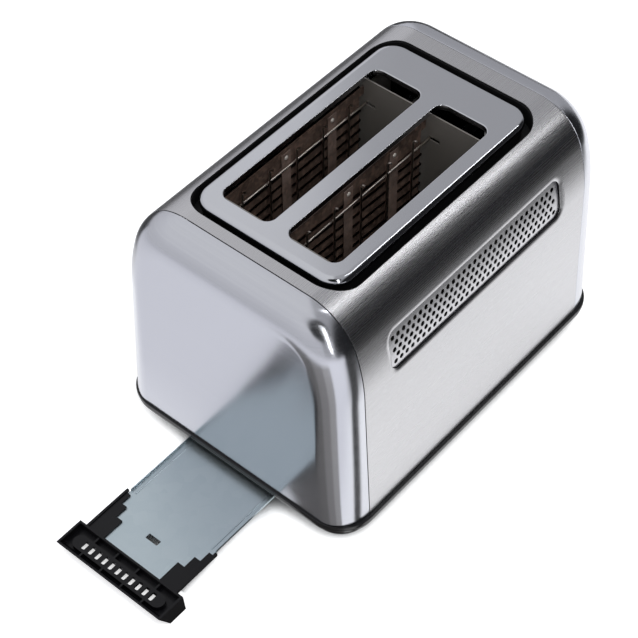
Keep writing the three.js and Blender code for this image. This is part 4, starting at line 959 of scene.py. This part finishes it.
handle_low, handle_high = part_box("tray_handle")
handle_back = -214.6 * MM
handle_half, end_lean = 41.6 * MM, 1.4 * MM
front_undercut = 7.2 * MM
handle_wall = 1.4 * MM
web_bottom, web_top = 1.8 * MM, 3.2 * MM
plate_x, plate_width, plate_length = -225.2 * MM, 9.6 * MM, 72 * MM
plate_top = handle_high.z - 1.2 * MM
plate_roof = plate_top - 1.6 * MM
rib_pitch, rib_half = 16.5 * MM, 0.6 * MM
boss_wall = 1.2 * MM
slot_step = 5.44 * MM
slot_size = (5.6 * MM, 2.9 * MM, 0.9 * MM)
arm_root, arm_end = handle_back - handle_wall / 2, -182 * MM
arm_outside = 35.85 * MM
arm_steps_mm = [(-198.7, 22.6), (-198.7, 27.6), (-189.7, 27.6), (-189.7, 32.0), (-182.0, 32.0)]
arm_bottom = tray_top + clearance
arm_top = arm_bottom + 0.8 * MM
lip_inside, lip_outside = 35.1 * MM, 36.6 * MM
lip_bottom = 5.8 * MM


def bar(name, inset, low, high):
    """The bar drawn in by an inset. Its front leans in and its ends lean out towards the foot."""
    rings = []
    for z in (low, high):
        share = (handle_high.z - z) / (handle_high.z - handle_low.z)
        front, back = handle_low.x + share * front_undercut + inset, handle_back - inset
        half = handle_half + share * end_lean - inset
        rings.append([(front, -half, z), (back, -half, z), (back, half, z), (front, half, z)])
    return loft(name, rings)


def stadium(name, inset, low, high):
    """The slotted plate's long round-ended solid, drawn in by an inset."""
    width, length = plate_width - 2 * inset, plate_length - 2 * inset
    outline = rounded_rectangle((plate_x, 0.0), width, length, width / 2 - 0.1 * MM)
    return upright(name, outline, low, high)


handle = bar("tray_handle_black", 0.0, handle_low.z, handle_high.z)
channels = bar("channels", handle_wall, web_top, handle_high.z + overrun)
carve(channels, stadium("plate", 0.0, web_bottom, plate_top))
for i in range(4):
    y = (i - 1.5) * rib_pitch
    rib_low, rib_high = (handle_low.x, y - rib_half, 0.0), (handle_back, y + rib_half, plate_top)
    carve(channels, block("rib", rib_low, rib_high))
carve(handle, channels, bar("underside", handle_wall, handle_low.z - overrun, web_bottom))
carve(handle, stadium("boss_hollow", boss_wall, web_bottom - clearance, plate_roof))
for i in range(11):
    slot = rounded_rectangle((plate_x, (i - 5) * slot_step), *slot_size, steps=4)
    carve(handle, upright("slot", slot, plate_roof - overrun, handle_high.z))
for side in (-1, 1):
    corners = [(arm_root, arm_steps_mm[0][1] * MM), *[(x * MM, y * MM) for x, y in arm_steps_mm]]
    corners += [(arm_end, arm_outside), (arm_root, arm_outside)]
    outline = [(x, side * y) for x, y in corners]
    arm = upright("arm", outline if side > 0 else outline[::-1], arm_bottom, arm_top)
    lip_near, lip_far = sorted((side * lip_inside, side * lip_outside))
    lip = block("lip", (arm_root, lip_near, lip_bottom), (arm_end + 2 * MM, lip_far, handle_high.z))
    carve(arm, lip, operation="UNION")
    carve(handle, arm, operation="UNION")
soften(handle, 0.28 * MM, segments=2)
# Black ABS from a spark-eroded mould: a deep even black with soft light on its edges.
handle_black = moulded_plastic("black_abs", "#0b0b0e", 0.34, grain=0.2, ior=1.36)
seat(handle, "tray", "black_plastic", handle_black, "tray_handle")


# Underside: a galvanised base plate with three columns of vents and two folded runners for the
# tray, four turned rubber feet pushed into it, and a black moulded gland where the cord leaves.

def dressed(node, body, slot, material, bevel=0.0, angle=35.0, longer=0.0):
    """The part's own mesh for a node, merged, drawn out at its control end and rounded."""
    piece = bpy.data.objects.new(node + "_finished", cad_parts[node].data.copy())
    bpy.context.collection.objects.link(piece)
    merged = bmesh.new()
    merged.from_mesh(piece.data)
    bmesh.ops.remove_doubles(merged, verts=merged.verts, dist=0.000002)
    bmesh.ops.dissolve_limit(merged, angle_limit=math.radians(0.6), verts=merged.verts, edges=merged.edges)
    end_x = max(vertex.co.x for vertex in merged.verts)
    for vertex in merged.verts:
        if vertex.co.x > end_x - 0.1 * MM:
            vertex.co.x += longer
    merged.to_mesh(piece.data)
    merged.free()
    soften(piece, bevel, segments=2, angle=angle)
    seat(piece, body, slot, material, node)


# Galvanised sheet gone grey, with larger crystals than the tray's.
plate_zinc = galvanised("galvanised_base_sheet", "#8f9aa1", 0.42, spangle_mm=9)
dressed("base_plate", "body", "galvanised", plate_zinc, 0.15 * MM)
for side in ("left", "right"):
    dressed(f"tray_runner_{side}", "body", "galvanised", plate_zinc, 0.1 * MM)
# Matt black rubber: dull and a little dusty, with no glint.
foot_rubber = moulded_plastic("matt_black_rubber", "#0f0f10", 0.75, grain=0.3, grain_mm=0.25)
for place in ("tray_end_near", "tray_end_far", "control_end_near", "control_end_far"):
    dressed(f"foot_{place}", "body", "black_rubber", foot_rubber, 0.5 * MM)
dressed("cord_gland", "body", "black_plastic", trim_black, 0.3 * MM)


# Toasting chamber: galvanised end plates and beaded side reflectors that the heat has turned
# a brown grey. The plates have slits for the boards' tabs, the guards' rails and the racks. The
# reflectors run on past the control end plate, so that no light passes from grille to grille.

# Galvanised sheet tinted by heat: a dull brown grey that spreads what light falls in.
chamber_steel = satin_metal("heat_tinted_galvanised_sheet", "#827e79", 0.34, cloud_mm=14, metallic=0.45)
for node in ("chassis_plate_tray_end", "chassis_plate_control_end"):
    dressed(node, "body", "galvanised", chamber_steel, 0.12 * MM)
for side in ("left", "right"):
    dressed(f"side_reflector_{side}", "body", "galvanised", chamber_steel, 0.12 * MM, longer=30 * MM)


# Heater boards: pressed mica sheets, brown and a little glittery, each wound with one flat
# resistance ribbon. Two riveted cover strips of the same mica hold the windings in place.

def mica_board(name, tone, dark_tone):
    """Pressed mica: small flakes, some painted paler as glints and each with its own gloss, scorched
    darker in clouds of 22 mm.
    """
    mica, tree, shader = new_material(name)
    place = add_node(tree, "ShaderNodeTexCoord").outputs["Object"]
    flakes = add_node(tree, "ShaderNodeTexVoronoi", {
        "Vector": place, "Scale": 1 / (2.2 * MM), "Randomness": 1.0,
    })
    flake = add_node(tree, "ShaderNodeSeparateColor", {"Color": flakes.outputs["Color"]}).outputs
    scorch = add_node(tree, "ShaderNodeTexNoise", {
        "Vector": place, "Scale": 1 / (22 * MM), "Detail": 5.0, "Roughness": 0.7,
    })
    scorched = add_node(tree, "ShaderNodeMapRange", {
        "Value": scorch, "From Min": 0.35, "From Max": 0.68,
    })
    burnt = add_node(tree, "ShaderNodeMixRGB", {
        "Fac": scorched, "Color1": linear(dark_tone), "Color2": linear(tone),
    })
    # Painted glints: some flakes are painted paler in the base colour.
    glint = add_node(tree, "ShaderNodeMapRange", {
        "Value": flake["Green"], "From Min": 0.55, "From Max": 1.0, "To Max": 0.35,
    })
    tint = add_node(tree, "ShaderNodeMixRGB", {
        "Fac": glint, "Color1": burnt, "Color2": linear("#8d7466"),
    })
    give_finish(tree, shader, (flake["Blue"], 0.35, 0.6), (flake["Red"], 0.15, 0.1), {"Base Color": tint})
    return mica


def circle(centre, across, other, radius, steps):
    """Points round a centre, in the plane of two directions."""
    turns = [2 * math.pi * i / steps for i in range(steps)]
    return [centre + (across * math.cos(t) + other * math.sin(t)) * radius for t in turns]


def round_head(name, centre, axis, radius, height):
    """A rivet head: a low dome on a face, standing out along the axis."""
    across = axis.orthogonal().normalized()
    other = axis.cross(across)
    dome = ((0.0, 1.0), (0.35, 0.94), (0.7, 0.74), (0.92, 0.42), (1.0, 0.12))
    return loft(name, [
        circle(centre + axis * (height * rise), across, other, radius * size, 16) for rise, size in dome
    ])


# Mica board, pressed from flakes: brown and scorched, with the cover strips a little paler.
board_mica = mica_board("brown_mica_board", "#5f4f47", "#332924")
strip_mica = mica_board("mica_cover_strip", "#7c6c65", "#50433d")
# Resistance ribbon darkened by heat: nearly black lines across the mica.
ribbon_alloy = satin_metal("heat_darkened_resistance_ribbon", "#2b2320", 0.45, cloud_mm=6)
# Bright plated steel: small pale glints in the dark of the chamber.
rivet_steel = satin_metal("bright_rivet_steel", "#e6e0d8", 0.35, cloud_mm=3, grain=0.0, metallic=0.6)
ribbon_reach = 0.9 * MM
strip_half, strip_thickness = 4 * MM, 0.5 * MM
strip_places = (-19 * MM, 23 * MM)
rivet_radius, rivet_rise = 1.5 * MM, 0.8 * MM
for name, faces in (("left", (1,)), ("centre", (-1, 1)), ("right", (-1,))):
    board_low, board_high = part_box(f"heater_board_{name}")
    dressed(f"heater_board_{name}", "body", "mica", board_mica)
    dressed(f"heater_ribbon_{name}", "body", "heating_ribbon", ribbon_alloy)
    for face in faces:
        skin = (board_high.y if face > 0 else board_low.y) + face * ribbon_reach
        outside = skin + face * strip_thickness
        for x in strip_places:
            strip_low = (x - strip_half, min(skin, outside), board_low.z + 6 * MM)
            strip_high = (x + strip_half, max(skin, outside), board_high.z - 1 * MM)
            strip = block(f"mica_strip_{name}", strip_low, strip_high)
            soften(strip, 0.12 * MM, segments=1)
            seat(strip, "body", "mica", strip_mica)
            for z in (board_high.z - 5 * MM, board_low.z + 12 * MM):
                foot, outward = Vector((x, outside, z)), Vector((0, face, 0))
                head = round_head(f"rivet_{name}", foot, outward, rivet_radius, rivet_rise)
                soften(head, 0.0)
                seat(head, "body", "plain_steel", rivet_steel)


# Guard wires: bright steel wire, darkened by heat. Hooked uprights are welded to two rails,
# which run through slits in the end plates, so each set can close on the bread.

def tube(name, path, radius, sides=10):
    """A round wire along a path, with its ends closed."""
    path = [Vector(p) for p in path]
    across = None
    rings = []
    for i, point in enumerate(path):
        along = (path[min(i + 1, len(path) - 1)] - path[max(i - 1, 0)]).normalized()
        across = along.orthogonal() if across is None else across - along * across.dot(along)
        across.normalize()
        rings.append(circle(point, across, along.cross(across), radius, sides))
    return loft(name, rings)


# Drawn steel wire, darkened by heat: warm grey, with a thin line of light along each wire.
guard_steel = satin_metal("heat_darkened_steel_wire", "#cfc6be", 0.3, cloud_mm=8, grain=0.0)
wire_radius, rail_radius = 0.7 * MM, 0.8 * MM
weld_offset = 1.35 * MM
rail_heights = (46 * MM, 151 * MM)
upright_places = [(-60 + 24 * i) * MM for i in range(5)]
hook_round = 3 * MM
for name, guard_y, towards in (
    ("left_outer", -43.4 * MM, 1), ("left_inner", -5.4 * MM, -1),
    ("right_inner", 5.4 * MM, 1), ("right_outer", 43.4 * MM, -1),
):
    node = f"guard_wires_{name}"
    guard_low, guard_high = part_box(node)
    rail_y = guard_y - towards * weld_offset
    guard, upper_rail = [
        tube(f"{node}_finished", [(guard_low.x, rail_y, z), (guard_high.x, rail_y, z)], rail_radius)
        for z in rail_heights
    ]
    carve(guard, upper_rail, operation="UNION")
    bend_z = guard_high.z - wire_radius - hook_round
    hook = [(guard_y, guard_low.z), (guard_y, (guard_low.z + bend_z) / 2)]
    for turn in quarter[::2]:
        hook_y = guard_y + towards * hook_round * (1 - math.cos(turn))
        hook.append((hook_y, bend_z + hook_round * math.sin(turn)))
    for x in upright_places:
        carve(guard, tube("upright", [(x, y, z) for y, z in hook], wire_radius), operation="UNION")
    soften(guard, 0.0, angle=50)
    seat(guard, f"guard_{name}", "dark_wire", guard_steel, node)


# Carriage: plain pressed steel. A slider with a riveted bush climbs a round rod on a coil
# spring, carries a toothed rack under each slice, and brings its armature down to a magnet.

# Plain pressed steel, oiled and unpolished: an even mid grey.
pressed_steel = satin_metal("plain_pressed_steel", "#8d8c8a", 0.34, cloud_mm=12)
for node in ("bread_rack_left", "bread_rack_right", "lift_slider", "armature_plate", "lever_arm"):
    dressed(node, "carriage", "plain_steel", pressed_steel, 0.12 * MM)
rod_low, rod_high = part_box("guide_rod")
rod_x, rod_y = (rod_low.x + rod_high.x) / 2, (rod_low.y + rod_high.y) / 2
rod_radius = (rod_high.x - rod_low.x) / 2
rod_size = (2 * rod_radius, 2 * rod_radius, rod_radius - 0.01 * MM)
rod_outline = rounded_rectangle((rod_x, rod_y), *rod_size, steps=10)
rod = upright("guide_rod_ground", rod_outline, rod_low.z, rod_high.z)
soften(rod, 0.3 * MM, segments=2)
seat(rod, "body", "plain_steel", rivet_steel, "guide_rod")
spring_low, spring_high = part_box("lift_spring")
spring_wire, spring_radius = 0.7 * MM, 5.4 * MM
spring_coils, steps_per_coil = 10, 24
coil_rise = (spring_high.z - spring_low.z - 2 * spring_wire) / spring_coils
coil_path = []
for i in range(steps_per_coil * spring_coils + 1):
    coils = i / steps_per_coil
    turn = 2 * math.pi * coils
    x, y = rod_x + spring_radius * math.cos(turn), rod_y + spring_radius * math.sin(turn)
    coil_path.append((x, y, spring_low.z + spring_wire + coil_rise * coils))
spring = tube("lift_spring_wound", coil_path, spring_wire, sides=8)
soften(spring, 0.0, angle=60)
seat(spring, "body", "plain_steel", rivet_steel, "lift_spring")
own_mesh(spring)


# Controls' works, behind the fascia: a green laminate board, the magnet with its copper winding,
# the browning control in its can, and the mains contacts with brass leaves.

def wound_copper(name, tone, groove_mm):
    """Enamelled wire wound in even turns: level grooves with a metal glint on each."""
    copper, tree, shader = new_material(name)
    place = add_node(tree, "ShaderNodeTexCoord").outputs["Object"]
    waves_in_scale = 20 / (2 * math.pi)
    turns = add_node(tree, "ShaderNodeTexWave", {
        "Vector": place, "Scale": 1 / (groove_mm * MM * waves_in_scale),
    }, bands_direction="Z").outputs["Fac"]
    bump = add_node(tree, "ShaderNodeBump", {"Height": turns, "Strength": 0.5, "Distance": 0.2 * MM})
    feed(tree, shader, {"Metallic": 1.0, "Base Color": linear(tone), "Roughness": 0.3, "Normal": bump})
    return copper


# Glass laminate with a green lacquer: its weave shows as a faint grain.
laminate_green = moulded_plastic("green_glass_laminate", "#1d4a2a", 0.4, grain=0.1, grain_mm=0.8)
# Enamelled copper wire, wound close: orange brown, with its turns as level lines.
enamelled_copper = wound_copper("enamelled_copper_winding", "#a85a30", 2.2)
# Plain rolled brass: yellow, with a dull gloss.
leaf_brass = satin_metal("plain_brass", "#b98f4a", 0.3, cloud_mm=8)
dressed("control_board", "body", "circuit_board", laminate_green, 0.1 * MM)
dressed("hold_magnet", "body", "plain_steel", pressed_steel, 0.2 * MM)
dressed("magnet_coil", "body", "copper", enamelled_copper, 0.4 * MM)
dressed("browning_potentiometer", "body", "plain_steel", pressed_steel, 0.2 * MM)
dressed("mains_contacts", "body", "brass", leaf_brass, 0.15 * MM)


# Controls at the hidden end: a black fascia let into the cap, a ribbed browning knob, three
# plain buttons and the lever's knob. All are moulded with a fine satin grain and rounded edges.

# Satin black ABS for the fascia and knobs, and a dark grey one that sets the buttons off from it.
control_black = moulded_plastic("satin_black_abs", "#131315", 0.4, grain=0.18)
key_grey = moulded_plastic("dark_grey_abs", "#2a2a2d", 0.42, grain=0.18)
dressed("control_fascia", "body", "black_plastic", control_black, 0.5 * MM)
dressed("browning_knob", "browning_control", "black_plastic", control_black, 0.4 * MM, angle=25)
dressed("lever_knob", "carriage", "black_plastic", control_black, 0.5 * MM, angle=25)
for name in ("cancel", "reheat", "defrost"):
    dressed(f"{name}_button", name, "black_plastic", key_grey, 0.4 * MM)
